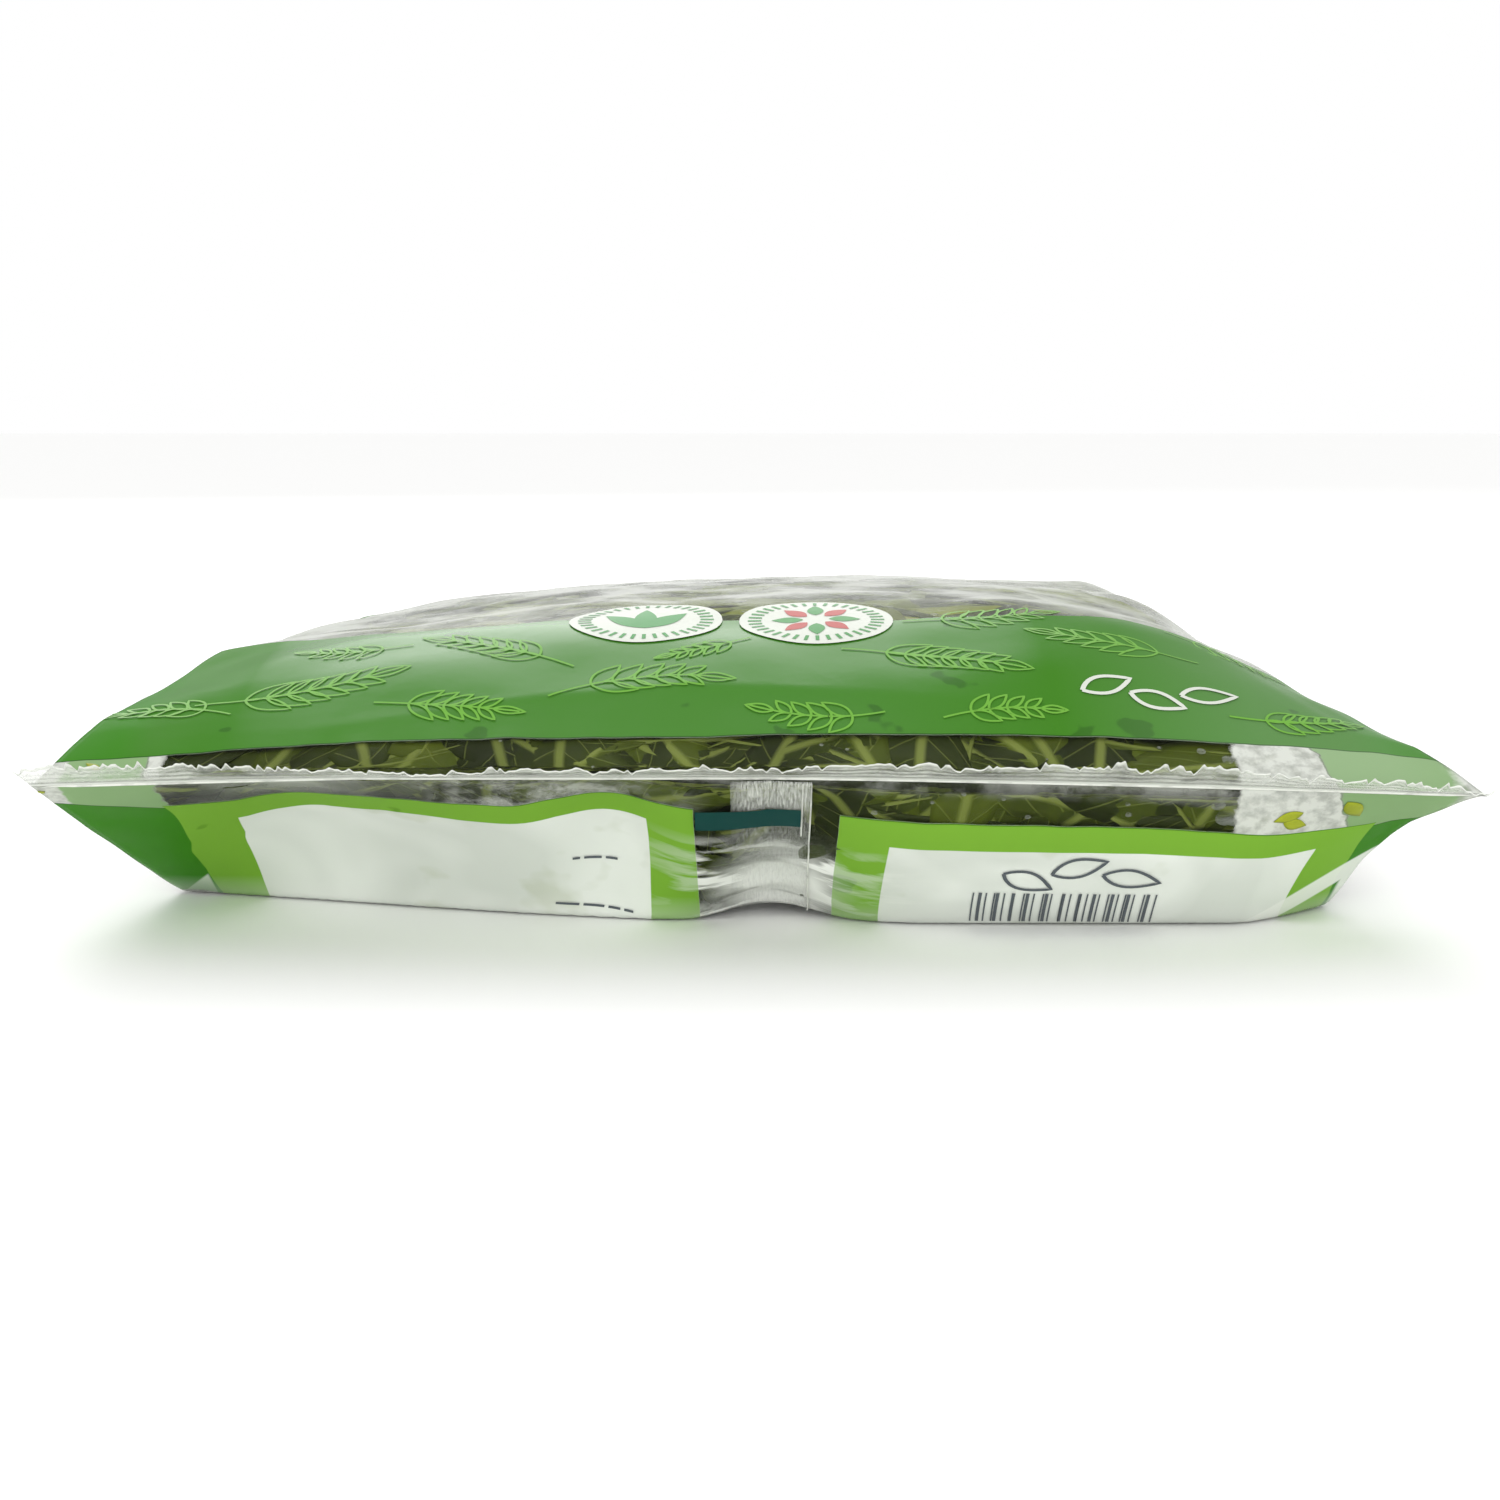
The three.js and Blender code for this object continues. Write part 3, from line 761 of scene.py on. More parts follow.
def printed_film_material():
    """Clear polypropylene film with gravure print.

    The print is a flat satin ink under a glossy film. The clear film shows the leaves and looks
    whiter at a low angle. It is milky where water has condensed at the right corner and where the
    film is folded or creased, and pale green at both corners, where the inside of the print shows
    through. The middle of the front has the most gloss and the sides almost none. The right slope
    has a painted sheen: its colour is mixed a little towards white.
    """
    material, tree = new_material("printed_polypropylene_film")
    band, frames, fields, end, back = print_masks(tree)
    place = add(tree, "ShaderNodeTexCoord").outputs["Object"]
    sideways = add(tree, "ShaderNodeSeparateXYZ", i0=place).outputs["X"]
    green, light_green, white = print_colours(tree, place, end, back)
    wet, pale = ear_masks(tree, place, end, back)
    fog = seam_fog(tree, place, end, back)
    folded = corner_folds(tree, place, end)
    mist_near, foot = root_mist(tree, place, end, back)
    upper = region(tree, (back, 104.0, ALL_ROUND, 6.0))

    colour = add(tree, "ShaderNodeMix", OVER, i0=pale, i6=hex_colour("#cccfc7"), i7=hex_colour("#86a674"))
    for mask, above in ((fog, hex_colour("#fbfcf8")), (band, green), (frames, light_green),
                        (fields, white)):
        colour = add(tree, "ShaderNodeMix", OVER, i0=mask, i6=colour, i7=above)
    # Mixed towards white: milky fog, film turned in at the floor, doubled film, and a painted sheen on the
    # right slope.
    fold = add(tree, "ShaderNodeMath", PRODUCT, i0=foot, i1=0.3)
    milk_and_sheen = add(tree, "ShaderNodeMath", PRODUCT, i0=fog, i1=0.4)
    doubled = add(tree, "ShaderNodeMath", PRODUCT, i0=folded, i1=0.86)
    # Painted sheen on the right slope of the front.
    slope = add(tree, "ShaderNodeMapRange", i0=sideways, i1=0.042, i2=0.07, i3=0.0, i4=0.075)
    slope = add(tree, "ShaderNodeMath", PRODUCT, i0=slope, i1=upper)
    milk_and_sheen = add(tree, "ShaderNodeMath", HIGHER, i0=milk_and_sheen, i1=fold)
    doubled_and_sheen = add(tree, "ShaderNodeMath", HIGHER, i0=doubled, i1=slope)
    milk_and_sheen = add(tree, "ShaderNodeMath", HIGHER, i0=milk_and_sheen, i1=doubled_and_sheen)
    colour = add(tree, "ShaderNodeMix", OVER, i0=milk_and_sheen, i6=colour, i7=hex_colour("#e3e6df"))

    crinkle = add(tree, "ShaderNodeTexNoise", i0=place, Scale=180.0, Detail=3.0, Roughness=0.5)
    bumps = add(tree, "ShaderNodeBump", Strength=0.25, Distance=0.0003, Height=crinkle)
    seen = film_haze(tree, place, end, bumps)
    beaded = add(tree, "ShaderNodeTexNoise", i0=place, Scale=420.0, Detail=4.0, Roughness=0.6)
    beads_share = add(tree, "ShaderNodeMapRange", i0=beaded, i1=0.36, i2=0.56, i3=0.6, i4=0.93)
    wet = add(tree, "ShaderNodeMath", PRODUCT, i0=wet, i1=beads_share)
    fog = add(tree, "ShaderNodeMath", PRODUCT, i0=fog, i1=0.93)
    pale = add(tree, "ShaderNodeMath", PRODUCT, i0=pale, i1=0.9)
    milky = add(tree, "ShaderNodeMath", HIGHER, i0=wet, i1=fog)
    corners = add(tree, "ShaderNodeMath", HIGHER, i0=pale, i1=doubled)
    corners = add(tree, "ShaderNodeMath", HIGHER, i0=mist_near, i1=corners)
    milky = add(tree, "ShaderNodeMath", HIGHER, i0=milky, i1=corners)
    seen = add(tree, "ShaderNodeMath", HIGHER, i0=seen, i1=milky)
    inked = add(tree, "ShaderNodeMath", HIGHER, i0=band, i1=frames)
    alpha = add(tree, "ShaderNodeMix", {"data_type": "FLOAT"}, i0=inked, i2=seen, i3=0.985)
    middle = region(tree, (sideways, -0.060, 0.027, 0.014))
    middle = add(tree, "ShaderNodeMath", PRODUCT, i0=upper, i1=middle)
    gloss = add(tree, "ShaderNodeMapRange", i0=middle, i1=0.0, i2=1.0, i3=0.006, i4=0.12)
    shader = add(tree, "ShaderNodeBsdfPrincipled", Base_Color=colour, Roughness=0.24, IOR=FILM_IOR,
                 Specular_IOR_Level=gloss, Alpha=alpha, Normal=bumps)
    add(tree, "ShaderNodeOutputMaterial", Surface=shader)
    return material


def inside_print_material():
    """The inked film seen from inside the bag: paler, matt, uneven and a little see-through."""
    material, tree = new_material("inside_of_the_print")
    band, frames, fields, _, _ = print_masks(tree)
    place = add(tree, "ShaderNodeTexCoord").outputs["Object"]
    uneven = add(tree, "ShaderNodeTexNoise", i0=place, Scale=90.0, Detail=4.0, Roughness=0.6)
    share = add(tree, "ShaderNodeMapRange", i0=uneven, i1=0.35, i2=0.7, i3=0.0, i4=0.3)
    colour = add(tree, "ShaderNodeMix", OVER, i0=frames, i6=hex_colour("#a9bf97"), i7=hex_colour("#aac480"))
    colour = add(tree, "ShaderNodeMix", OVER, i0=fields, i6=colour, i7=hex_colour("#dfe2da"))
    colour = add(tree, "ShaderNodeMix", OVER, i0=share, i6=colour, i7=hex_colour("#8fa07c"))
    inked = add(tree, "ShaderNodeMath", HIGHER, i0=band, i1=frames)
    shader = add(tree, "ShaderNodeBsdfPrincipled", Base_Color=colour, Roughness=0.5, Alpha=inked)
    add(tree, "ShaderNodeOutputMaterial", Surface=shader)
    return material


def sealed_film_material():
    """Two films welded by a ribbed jaw: milky at the weld, with fibres along it and a torn edge
    whose white rim is a painted highlight.

    The attribute `part` runs from 0 at the bag to 1 at the cut edge. The ribs are a sine of it,
    and the fibres are a noise that is stretched four times along X.
    """
    material, tree = new_material("heat_sealed_film")
    place = add(tree, "ShaderNodeTexCoord").outputs["Object"]
    part = add(tree, "ShaderNodeAttribute", {"attribute_name": "part"}).outputs["Fac"]
    drawn = add(tree, "ShaderNodeVectorMath", PRODUCT, i0=place, i1=(0.25, 1.0, 1.0))
    fibres = add(tree, "ShaderNodeTexNoise", i0=drawn, Scale=620.0, Detail=5.0, Roughness=0.75)
    mist = add(tree, "ShaderNodeTexNoise", i0=place, Scale=120.0, Detail=5.0, Roughness=0.7)
    broken = add(tree, "ShaderNodeMapRange", i0=mist, i1=0.35, i2=0.6)
    swing = add(tree, "ShaderNodeMath", PRODUCT, i0=part, i1=26.0)
    ribs = add(tree, "ShaderNodeMath", {"operation": "SINE"}, i0=swing)
    rib_share = add(tree, "ShaderNodeMapRange", i0=ribs, i1=0.6, i2=1.0, i3=0.0, i4=0.55)
    # Painted highlight: a white rim along the torn edge.
    rim = add(tree, "ShaderNodeMapRange", i0=part, i1=0.86, i2=0.97, i3=0.0, i4=0.9)
    weld = add(tree, "ShaderNodeMapRange", i0=part, i1=0.1, i2=0.42, i3=0.95, i4=0.0)
    strands = add(tree, "ShaderNodeMapRange", i0=fibres, i1=0.45, i2=0.6, i3=0.0, i4=0.85)
    base = add(tree, "ShaderNodeMapRange", i0=mist, i1=0.36, i2=0.64, i3=0.12, i4=0.7)
    lines = add(tree, "ShaderNodeMath", HIGHER, i0=rib_share, i1=strands)
    alpha = add(tree, "ShaderNodeMath", PRODUCT, i0=lines, i1=broken)
    for share in (rim, weld, base):
        alpha = add(tree, "ShaderNodeMath", HIGHER, i0=alpha, i1=share)
    height = add(tree, "ShaderNodeMath", {"operation": "ADD"}, i0=ribs, i1=fibres)
    bumps = add(tree, "ShaderNodeBump", Strength=0.7, Distance=0.0002, Height=height)
    shader = add(tree, "ShaderNodeBsdfPrincipled", Base_Color=hex_colour("#d9dcd4"), Roughness=0.2,
                 IOR=FILM_IOR, Alpha=alpha, Normal=bumps)
    add(tree, "ShaderNodeOutputMaterial", Surface=shader)
    return material


def seam_film_material():
    """The folded fin of the back seam: clear, with fine milky lines along it and a foggy upper end.

    The attribute `part` runs across the fin from 0 to 1, and `along` is the length v.
    """
    material, tree = new_material("back_seam_film")
    part = add(tree, "ShaderNodeAttribute", {"attribute_name": "part"}).outputs["Fac"]
    along = add(tree, "ShaderNodeAttribute", {"attribute_name": "along"}).outputs["Fac"]
    spot = add(tree, "ShaderNodeCombineXYZ", i0=part, i1=along)
    stretched = add(tree, "ShaderNodeVectorMath", PRODUCT, i0=spot, i1=(38.0, 0.5, 1.0))
    grain = add(tree, "ShaderNodeTexNoise", i0=stretched, Scale=1.0, Detail=4.0, Roughness=0.7)
    alpha = add(tree, "ShaderNodeMapRange", i0=grain, i1=0.4, i2=0.66, i3=0.12, i4=0.5)
    upper = add(tree, "ShaderNodeMapRange", i0=along, i1=7.5, i2=5.5, i3=0.4, i4=1.3)
    inner = add(tree, "ShaderNodeMapRange", i0=part, i1=0.0, i2=0.25, i3=0.4, i4=1.0)
    for share in (upper, inner):
        alpha = add(tree, "ShaderNodeMath", PRODUCT, i0=alpha, i1=share)
    bumps = add(tree, "ShaderNodeBump", Strength=0.5, Distance=0.0002, Height=grain)
    shader = add(tree, "ShaderNodeBsdfPrincipled", Base_Color=hex_colour("#dfe2da"), Roughness=0.2,
                 IOR=FILM_IOR, Alpha=alpha, Normal=bumps)
    add(tree, "ShaderNodeOutputMaterial", Surface=shader)
    return material


def weld_line_material():
    """The molten bead of a weld: white and glossy, with small gaps."""
    material, tree = new_material("weld_bead")
    place = add(tree, "ShaderNodeTexCoord").outputs["Object"]
    grain = add(tree, "ShaderNodeTexNoise", i0=place, Scale=300.0, Detail=3.0)
    alpha = add(tree, "ShaderNodeMapRange", i0=grain, i1=0.3, i2=0.5, i3=0.55, i4=0.95)
    shader = add(tree, "ShaderNodeBsdfPrincipled", Base_Color=hex_colour("#dcded6"), Roughness=0.15,
                 IOR=FILM_IOR, Alpha=alpha)
    add(tree, "ShaderNodeOutputMaterial", Surface=shader)
    return material


def ink_material(name, code):
    """One printed ink on the film, satin, with a faint unevenness of the printing."""
    material, tree = new_material(name)
    place = add(tree, "ShaderNodeTexCoord").outputs["Object"]
    grain = add(tree, "ShaderNodeTexNoise", i0=place, Scale=900.0, Detail=2.0)
    red, green, blue, _ = hex_colour(code)
    darker = (red * 0.93, green * 0.93, blue * 0.93, 1.0)
    colour = add(tree, "ShaderNodeMix", OVER, i0=grain, i6=hex_colour(code), i7=darker)
    shader = add(tree, "ShaderNodeBsdfPrincipled", Base_Color=colour, Roughness=0.35,
                 Specular_IOR_Level=0.06)
    add(tree, "ShaderNodeOutputMaterial", Surface=shader)
    return material


def leaf_material():
    """Rocket leaf: a waxy skin, dark to yellow green from leaf to leaf, with pale veins.

    The attribute `across` is the distance from the midrib and `run` the length along it, both in
    millimetres. A side vein is where run less across comes round to a multiple of VEIN_STEP.
    """
    material, tree = new_material("rocket_leaf")
    place = add(tree, "ShaderNodeTexCoord").outputs["Object"]
    shade = add(tree, "ShaderNodeAttribute", {"attribute_name": "shade"}).outputs["Fac"]
    across = add(tree, "ShaderNodeAttribute", {"attribute_name": "across"}).outputs["Fac"]
    run = add(tree, "ShaderNodeAttribute", {"attribute_name": "run"}).outputs["Fac"]
    mottle = add(tree, "ShaderNodeTexNoise", i0=place, Scale=170.0, Detail=5.0, Roughness=0.6)
    tone = add(tree, "ShaderNodeMath", SCALED, i0=mottle, i1=0.4, i2=shade)
    tone = add(tree, "ShaderNodeMath", {"operation": "SUBTRACT"}, i0=tone, i1=0.2)
    skin = add(tree, "ShaderNodeValToRGB", i0=tone)
    stops = skin.color_ramp.elements
    stops[0].color = hex_colour("#28310b")
    stops[1].color = hex_colour("#9aa329")
    for at, code in ((0.3, "#3d490f"), (0.6, "#566416"), (0.82, "#74801b")):
        stops.new(at).color = hex_colour(code)
    rib = add(tree, "ShaderNodeMapRange", i0=across, i1=0.95, i2=0.35, i3=0.0, i4=0.75)
    slant = add(tree, "ShaderNodeMath", {"operation": "SUBTRACT"}, i0=run, i1=across)
    vein = add(tree, "ShaderNodeMath", {"operation": "PINGPONG"}, i0=slant, i1=VEIN_STEP / 2)
    side = add(tree, "ShaderNodeMapRange", i0=vein, i1=0.28, i2=0.06, i3=0.0, i4=0.4)
    veins = add(tree, "ShaderNodeMath", HIGHER, i0=rib, i1=side)
    colour = add(tree, "ShaderNodeMix", OVER, i0=veins, i6=skin, i7=hex_colour("#8f9c4c"))
    height = add(tree, "ShaderNodeMath", {"operation": "ADD"}, i0=veins, i1=mottle)
    bumps = add(tree, "ShaderNodeBump", Strength=0.4, Distance=0.0005, Height=height)
    shader = add(tree, "ShaderNodeBsdfPrincipled", Base_Color=colour, Roughness=0.5, IOR=1.42,
                 Specular_IOR_Level=0.2, Normal=bumps)
    add(tree, "ShaderNodeOutputMaterial", Surface=shader)
    return material


def core_material():
    """The depth of the heap of leaves: dark olive as painted shade of leaves deep in the heap, broken
    up like leaves lying on leaves.
    """
    material, tree = new_material("shaded_leaves")
    place = add(tree, "ShaderNodeTexCoord").outputs["Object"]
    cells = add(tree, "ShaderNodeTexVoronoi", {"feature": "F1"}, i0=place, Scale=70.0)
    mottle = add(tree, "ShaderNodeTexNoise", i0=place, Scale=140.0, Detail=5.0, Roughness=0.65)
    dark = add(tree, "ShaderNodeMix", OVER, i0=mottle, i6=hex_colour("#1a2108"), i7=hex_colour("#384310"))
    blade = add(tree, "ShaderNodeMapRange", i0=cells, i1=0.1, i2=0.6, i3=0.45, i4=0.0)
    colour = add(tree, "ShaderNodeMix", OVER, i0=blade, i6=dark, i7=hex_colour("#4a5718"))
    bumps = add(tree, "ShaderNodeBump", Strength=0.8, Distance=0.002, Height=mottle)
    shader = add(tree, "ShaderNodeBsdfPrincipled", Base_Color=colour, Roughness=0.6, Normal=bumps)
    add(tree, "ShaderNodeOutputMaterial", Surface=shader)
    return material


def water_material():
    """Condensed water: clear, with a sharp highlight and a faint grey body."""
    material, tree = new_material("condensed_water")
    edge_on = add(tree, "ShaderNodeLayerWeight", Blend=0.35).outputs["Facing"]
    alpha = add(tree, "ShaderNodeMapRange", i0=edge_on, i1=0.0, i2=1.0, i3=0.06, i4=0.55)
    shader = add(tree, "ShaderNodeBsdfPrincipled", Base_Color=hex_colour("#dfe5da"), Roughness=0.04,
                 IOR=1.33, Alpha=alpha)
    add(tree, "ShaderNodeOutputMaterial", Surface=shader)
    return material


def floor_material():
    """Matt white paper."""
    material, tree = new_material("white_paper")
    place = add(tree, "ShaderNodeTexCoord").outputs["Object"]
    grain = add(tree, "ShaderNodeTexNoise", i0=place, Scale=400.0)
    bumps = add(tree, "ShaderNodeBump", Strength=0.05, Distance=0.0002, Height=grain)
    shader = add(tree, "ShaderNodeBsdfPrincipled", Base_Color=hex_colour("#fbfbfa"), Roughness=0.9,
                 Normal=bumps)
    add(tree, "ShaderNodeOutputMaterial", Surface=shader)
    return material


def film_lay(s, v):
    """Corner by corner lay of a tube's quads, from s and v with the first column repeated."""
    lay = np.stack([(s + HALF_ROUND) / (2 * HALF_ROUND), v / SEAL_TO_SEAL], -1)
    corners = (lay[:-1, :-1], lay[:-1, 1:], lay[1:, 1:], lay[1:, :-1])
    return np.stack(corners, 2).reshape(-1, 4, 2)


def bag_film():
    """The film, and its inked inside face a little way under it."""
    d = np.concatenate([np.linspace(0, NEAR_RINGS_END, NEAR_RINGS),
                        np.linspace(NEAR_RINGS_END, SEAL_TO_SEAL, FAR_RINGS)[1:]])
    smooth = rings(d)
    s, v = lengths_round(smooth), lengths_along(smooth)
    far = v[-1:] - v
    normal = outward(smooth)
    lift = relief(s[:, :-1], v, far, smooth[..., 2])[..., None]
    points = smooth + normal * lift
    points[..., 2] = np.maximum(FLOOR_GAP, points[..., 2])
    closed_v, closed_far = (np.concatenate([end, end[:, :1]], 1) for end in (v, far))
    print_s, print_v, print_far = print_lay(s, closed_v, closed_far)
    lay, print_far = film_lay(print_s, print_v), print_far[:, :-1]
    film = tubes("film", points[None], printed_film_material(), uv=lay, values={"far": print_far})
    inner = (points - INNER_FACE * normal)[1:-1]
    inner_lay = film_lay(print_s[1:-1], print_v[1:-1])
    tubes("film_inside", inner[None], inside_print_material(), uv=inner_lay,
          values={"far": print_far[1:-1]})
    return film


def beads(name, paths, radius, material):
    """Round beads along paths (beads, points, 3), thinned to a third at both ends."""
    ahead = np.gradient(paths, axis=1)
    ahead /= np.linalg.norm(ahead, axis=2, keepdims=True)
    side = np.cross(ahead, np.array([0.0, 0.0, 1.0]) + 0.02)
    side /= np.linalg.norm(side, axis=2, keepdims=True)
    up = np.cross(side, ahead)
    turn = np.linspace(0, 2 * np.pi, 8, endpoint=False)[None, None, :, None]
    t = np.linspace(0, 1, paths.shape[1])[None, :, None, None]
    size = radius * (0.33 + 0.67 * ramp(np.minimum(t, 1 - t), 0, 0.02))
    ring = paths[:, :, None] + size * (np.cos(turn) * side[:, :, None] + np.sin(turn) * up[:, :, None])
    ring[..., 2] = np.maximum(0.02, ring[..., 2])
    return tubes(name, ring, material)


def end_seal(name, tilts, direction, seed, material, bead):
    """A welded fin: a thin flat tube along x whose outer edge is torn unevenly by the cutter.

    The reach of the edge is a tooth wave and seeded noise of three pitches. A bead lies along
    the line where the fin leaves the bag.
    """
    x = np.linspace(-FLAT_WIDTH / 2, FLAT_WIDTH / 2, 1100)
    part = np.linspace(0, 1, 10)
    draw = np.random.default_rng(seed)
    torn = np.interp(x, np.linspace(-99, 99, 380), draw.uniform(-1, 1, 380) ** 3)
    teeth = (0.05 * np.abs((x / 1.9) % 1 - 0.5) * 2 + 0.13 * torn
             + 0.07 * ripple(x, x * 0, 17, seed) + 0.04 * ripple(x, x * 0, 4.5, seed + 3))
    reach = part[None, :] * (1 + part[None, :] ** 4 * teeth[:, None])
    middle = seal_rows(x[:, None], reach, tilts, direction)
    wave = (0.35 * ripple(x, x * 0, 23, seed + 1) + 0.2 * ripple(x, x * 0, 5, seed + 2))[:, None]
    curl = (0.45 * torn + 0.25 * ripple(x, x * 0, 3.1, seed + 4))[:, None]
    middle[..., 2] += part[None, :] ** 1.3 * wave + part[None, :] ** 5 * curl
    half = np.array([0.0, 0.0, SEAL_HALF_THICKNESS])
    ring = np.concatenate([middle + half, middle[:, ::-1] - half], 1)
    parts = np.broadcast_to(np.concatenate([part, part[::-1]])[None, :], ring.shape[:2])
    root = seal_rows(x[10:-10], 0.03, tilts, direction)
    beads(name + "_bead", root[None], SEAL_BEAD, bead)
    return tubes(name, ring[None], material, values={"part": parts})


def back_seam(material, bead):
    """The lengthwise weld, folded flat to the right against the back, with two beads on its edge."""
    across = np.linspace(SEAM_LEFT, SEAM_RIGHT, 12)
    v = np.linspace(0.4, SEAL_TO_SEAL + 12, 300)[:, None]
    s = HALF_ROUND - across[None, :]
    v = np.minimum(v, film_map.full_length(s) - 0.4)
    under = film_map.at(s, v)
    free = ramp(under[..., 2], 0.6, 3)
    wave = 0.2 * ripple(s, v, 6, 31) * free
    outer = film_map.at(s, v, 0.12 + 0.3 * free + wave)
    inner = film_map.at(s, v, 0.08 + 0.1 * free + wave * 0.6)
    ring = np.concatenate([outer, inner[:, ::-1]], 1)
    part = np.concatenate([np.linspace(0, 1, 12), np.linspace(1, 0, 12)])
    parts = np.broadcast_to(part[None, :], ring.shape[:2])
    lengths = np.concatenate([v, v[:, ::-1]], 1)
    edges = np.array([SEAM_RIGHT - 1.2, SEAM_RIGHT])[:, None]
    run = np.linspace(0.8, np.array([14.0, SEAL_TO_SEAL]), 300, axis=1)
    edge_s = HALF_ROUND - edges
    run = np.minimum(run, film_map.full_length(edge_s) - 0.8)
    paths = film_map.at(edge_s, run, 0.25 + 0.2 * ramp(run, 0, 20))
    beads("back_seam_beads", paths, SEAM_BEAD, bead)
    return tubes("back_seam", ring[None], material, values={"part": parts, "along": lengths})


def heap_middle(points):
    """Half way between front and back of every ring, and half the height between them."""
    across = (-np.arange(points.shape[1]) + HALF_STEPS) % points.shape[1]
    other = points[:, across]
    return (points + other) / 2, (points - other) / 2


def leaf_core():
    """The body of the heap: the film's rings drawn in towards their middle, with leafy lumps.

    Each point comes CORE_DEPTH nearer to its ring's middle height, but keeps at least a third of
    its half height. Near the seal the rings are narrower and shifted a little to the left, and
    where the relief dents the film, the heap is dented more.
    """
    d = np.linspace(CORE_START, SEAL_TO_SEAL - CORE_START, 110)
    points = rings(d)
    middle, half = heap_middle(points)
    span = np.abs(half[..., 2:])
    keep = np.clip(1 - CORE_DEPTH / np.maximum(span, 0.1), 0.35, 1)
    inner = middle + half * np.array([1, 1, 0]) + half * np.array([0, 0, 1]) * keep
    near_end = 1 - ramp(d, 0, 45)[:, None]
    inner[..., 0] = inner[..., 0] * (0.955 - 0.17 * near_end) - 6 * near_end
    s, v = lengths_round(points)[:, :-1], lengths_along(points)
    lumps = 0.7 * ripple(s, v, 11, 21) + 0.7 * ripple(s, v, 5, 22)
    dents = np.minimum(0, relief(s, v, v[-1:] - v, points[..., 2]))
    inner += outward(points) * (np.minimum(lumps, 0.9) + 1.4 * dents)[..., None]
    coarse = inner[:, ::2]
    coarse[..., 2] = np.maximum(2 * FLOOR_GAP, coarse[..., 2])
    return tubes("leaf_core", coarse[None], core_material())


def each(draw, count, low, high):
    """One even draw for each of a number of shapes, shaped to spread over its rows and columns."""
    return draw.uniform(low, high, (count, 1, 1))


def rocket_leaves(material, name, count, seed, s_range, v_range, dark):
    """Lobed leaves laid along the inside of the film.

    A leaf runs a long way along its midrib. Its half width is a bare stalk at first, then an
    envelope times a row of rounded lobes, and a broad tip. Each point is placed by s and v and
    sunk under the film by the leaf's depth, its waves and the fold along its midrib. The higher
    `dark` is, the fewer leaves are pale, and all are darker towards the seals as painted shade.
    """
    draw = np.random.default_rng(seed)
    t = np.linspace(0, 1, 27)[None, :, None]
    q = np.linspace(-1, 1, 7)[None, None, :]
    length = each(draw, count, 52, 104)
    width = each(draw, count, 7, 13)
    stalk = each(draw, count, 0.14, 0.36)
    lobes = each(draw, count, 1.8, 3.2)
    turn = each(draw, count, 0, 2 * np.pi)
    blade = np.clip((t - stalk) / (1 - stalk), 0, 1)
    envelope = np.sin(np.pi * blade ** 1.25) ** 0.7 * (0.55 + 0.45 * blade)
    waves = 0.4 + 0.6 * np.abs(np.sin(np.pi * lobes * blade ** 1.1)) ** 0.8
    tip = ramp(blade, 0.66, 0.8)
    half = 0.55 + width * envelope * (waves * (1 - tip) + tip)
    bend = each(draw, count, -0.45, 0.45)
    along = (t - 0.5) * length + 0.35 * half * q ** 2
    across = q * half + bend * length * (t - 0.5) ** 2 * 2
    s = each(draw, count, *s_range) + along * np.cos(turn) - across * np.sin(turn)
    v = each(draw, count, *v_range) + along * np.sin(turn) + across * np.cos(turn)
    full = film_map.full_length(s)
    end = np.minimum(v, full - v)
    v = np.clip(v, LEAF_CLEARANCE, full - LEAF_CLEARANCE)
    room = np.clip(0.16 * np.minimum(v, full - v), 0.25, 4.5)
    depth = each(draw, count, 0.15, 1.0) * room
    phase = t * each(draw, count, 14, 26) + q * each(draw, count, 1, 3) + each(draw, count, 0, 6)
    ripples = 0.35 * np.sin(phase) + 0.3 * np.abs(q)
    depth = depth + np.minimum(room * 0.5, 0.9) * (ripples + 0.35)
    depth = depth + 0.25 * ramp(-end, -6, 8)
    top = film_map.at(s, v, -depth)
    under = film_map.at(s, v, -depth - LEAF_THICKNESS)
    ring = np.concatenate([top, under[:, :, ::-1]], 2)
    ring[..., 2] = np.maximum(OFF_FLOOR, ring[..., 2])
    rib, run, deep = (np.concatenate([face, face[:, :, ::-1]], 2)
                      for face in (np.abs(q * half), t * length + 0 * q, end))
    # Painted shade: each leaf's tone is darker towards the seals.
    tone = draw.beta(1.3, dark, (count, 1, 1)) * (0.6 + 0.4 * ramp(deep, 6, 26))
    return tubes(name, ring, material, values={"shade": tone, "across": rib, "run": run})


